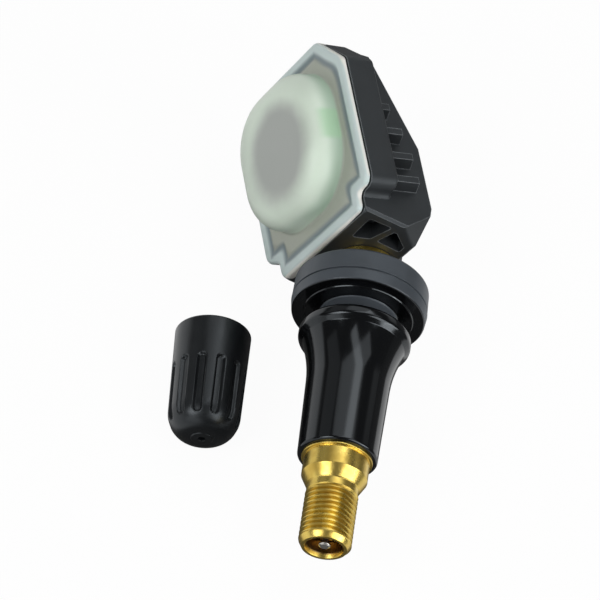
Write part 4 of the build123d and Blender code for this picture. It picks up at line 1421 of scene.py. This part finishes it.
@dataclass
class Studio:
    """White floor and surround, soft lamps and the camera."""

    eye: Sequence[float] = (20.59, -220.08, 322.26)
    look: Sequence[float] = (-0.07547, 0.56590, -0.82101)
    up: Sequence[float] = (-0.10854, 0.81380, 0.57091)
    lens: float = 156.0
    sensor: float = 36.0
    clip: Span = (0.01, 20.0)
    white: float = 1.0
    floor_half: float = 3.0  # metres, as the next
    floor_gap: float = 0.00005
    shadow_share: float = 0.045
    floor_glow: float = 0.15
    # the floor's tone where it is clear, and its painted shadow elsewhere
    floor_tone: Span = (0.9, 0.14)  # where it is clear, elsewhere
    floor_left: Span = (-0.034, -0.029)  # clear to the left of this fade, metres
    floor_right: tuple[float, float, float, float] = (0.011, 0.014, 0.031, 0.036)
    sky: Span = (0.75, 0.11)  # low down behind the part, elsewhere
    sky_change: Span = (0.22, 0.34)  # height of that change
    sky_way: Sequence[float] = (0.62, -0.78, 0.0)
    sky_side: Span = (-0.2, 0.25)  # and its reach along sky_way
    lamps: tuple[SoftBox, ...] = (
        SoftBox("overhead_strip", (0.15, 0.175, 0.60), 0.643, (0.15, 0.56), 1.7),
        SoftBox("back_panel", (0.19, 0.34, 0.64), 0.75, (0.90, 0.38), 0.9),
        SoftBox("side_panel", (-0.52, 0.36, 0.56), 0.80, (0.60, 0.38), 0.24),
        SoftBox("left_box", (-0.50, -0.45, 0.74), 0.70, (0.34, 0.36), 4.6),
        SoftBox("right_box", (0.70, -0.48, 0.53), 0.70, (0.40, 0.50), 3.4),
        SoftBox("right_low", (0.86, -0.50, 0.12), 0.70, (0.40, 0.26), 4.6),
        SoftBox("front_fill", (-0.40, -0.86, 0.30), 0.70, (0.50, 0.30), 1.3),
    )

    def floor(self) -> None:
        """A pale floor with a faint shadow, white to the camera and, beside the part, in mirror images; a
        painted shadow elsewhere.
        """
        made = bpy.data.materials.new("studio_floor")
        made.use_nodes = True
        made.node_tree.nodes.clear()
        wiring = Wiring(made.node_tree)
        path = wiring.add("ShaderNodeLightPath").outputs
        across = wiring.axes(wiring.add("ShaderNodeTexCoord").outputs["Object"])["X"]
        # painted shadow: for rays other than the camera's, the floor is dim under the part and far to its
        # right
        clear = wiring.most(wiring.band(across, *self.floor_right), wiring.fall(across, *self.floor_left))
        bright, painted_shadow_tone = self.floor_tone
        tone = wiring.ramp(wiring.most(clear, path["Is Camera Ray"]), 0.0, 1.0, painted_shadow_tone, bright)
        pale = wiring.add("ShaderNodeBsdfDiffuse", {"Color": tone}).outputs[0]
        glow = wiring.add("ShaderNodeEmission", {"Strength": tone}).outputs[0]
        white = wiring.add("ShaderNodeEmission", {"Strength": self.white}).outputs[0]
        lit = wiring.mix(wiring.times(path["Is Glossy Ray"], self.floor_glow), pale, glow)
        passed = wiring.most(path["Is Glossy Ray"], path["Is Transmission Ray"])
        shown = wiring.most(path["Is Camera Ray"], wiring.times(passed, clear))
        mixed = wiring.mix(wiring.times(shown, 1 - self.shadow_share), lit, white)
        wiring.add("ShaderNodeOutputMaterial", {"Surface": mixed})
        half, height = self.floor_half, CAD_BOX[0].z - self.floor_gap
        corners = [(x * half, y * half, height) for x, y in ((-1, -1), (1, -1), (1, 1), (-1, 1))]
        mesh = bpy.data.meshes.new("studio_floor")
        mesh.from_pydata(corners, [], [(0, 1, 2, 3)])
        mesh.materials.append(made)
        linked("studio_floor", mesh)

    def surround(self) -> None:
        """A white surround for the camera and for mirror images low down, under a dark ceiling."""
        world = bpy.data.worlds.new("studio")
        world.use_nodes = True
        world.node_tree.nodes.clear()
        wiring = Wiring(world.node_tree)
        path = wiring.add("ShaderNodeLightPath").outputs
        way = wiring.add("ShaderNodeTexCoord").outputs["Generated"]
        behind = wiring.fall(wiring.dot(way, self.sky_way), *self.sky_side)
        horizon = wiring.times(wiring.fall(wiring.axes(way)["Z"], *self.sky_change), behind)
        low, high = self.sky
        level = wiring.calc("MULTIPLY_ADD", horizon, low - high, high)
        sky = wiring.add("ShaderNodeBackground", {"Strength": level}).outputs[0]
        plain = {"Color": (1, 1, 1, 1), "Strength": self.white}
        white = wiring.add("ShaderNodeBackground", plain).outputs[0]
        passed = wiring.most(wiring.times(path["Is Glossy Ray"], horizon), path["Is Transmission Ray"])
        mixed = wiring.mix(wiring.most(path["Is Camera Ray"], passed), sky, white)
        wiring.add("ShaderNodeOutputWorld", {"Surface": mixed})
        bpy.context.scene.world = world

    def camera(self) -> None:
        """A camera that stands where the photograph was taken."""
        data = bpy.data.cameras.new("camera")
        data.lens, data.sensor_width = self.lens, self.sensor
        data.clip_start, data.clip_end = self.clip
        back, up = -Vector(self.look).normalized(), Vector(self.up).normalized()
        turn = Matrix((up.cross(back), up, back)).transposed().to_4x4()
        turn.translation = Vector(self.eye) * MM
        holder = linked("camera", data)
        holder.matrix_world = turn
        bpy.context.scene.camera = holder

    def build(self) -> None:
        """Sets up the whole studio."""
        self.camera()
        self.floor()
        self.surround()
        target = (CAD_BOX[0] + CAD_BOX[1]) / 2
        for lamp in self.lamps:
            lamp.add(target)
        bpy.context.scene.view_settings.view_transform = "Standard"


def dress_nodes() -> None:
    """Gives the nodes that stay as they are their materials."""
    for name, finish in CARRIED_NODES.items():
        mesh = frame["nodes"][name].data
        mesh.materials.clear()
        mesh.materials.append(finish.material())
        LOG.info("%s: %s", name, finish.name)


def main() -> None:
    """Builds the studio and every piece in order."""
    logging.basicConfig(level=logging.INFO, format="%(name)s %(message)s")
    Studio().build()
    dress_nodes()
    unit = SensorUnit()
    unit.housing()
    unit.lid()
    stem = ValveStem()
    stem.brass()
    stem.rubber()
    stem.pin()
    stem.spring()
    DustCap().build()


if __name__ == "__main__":
    main()
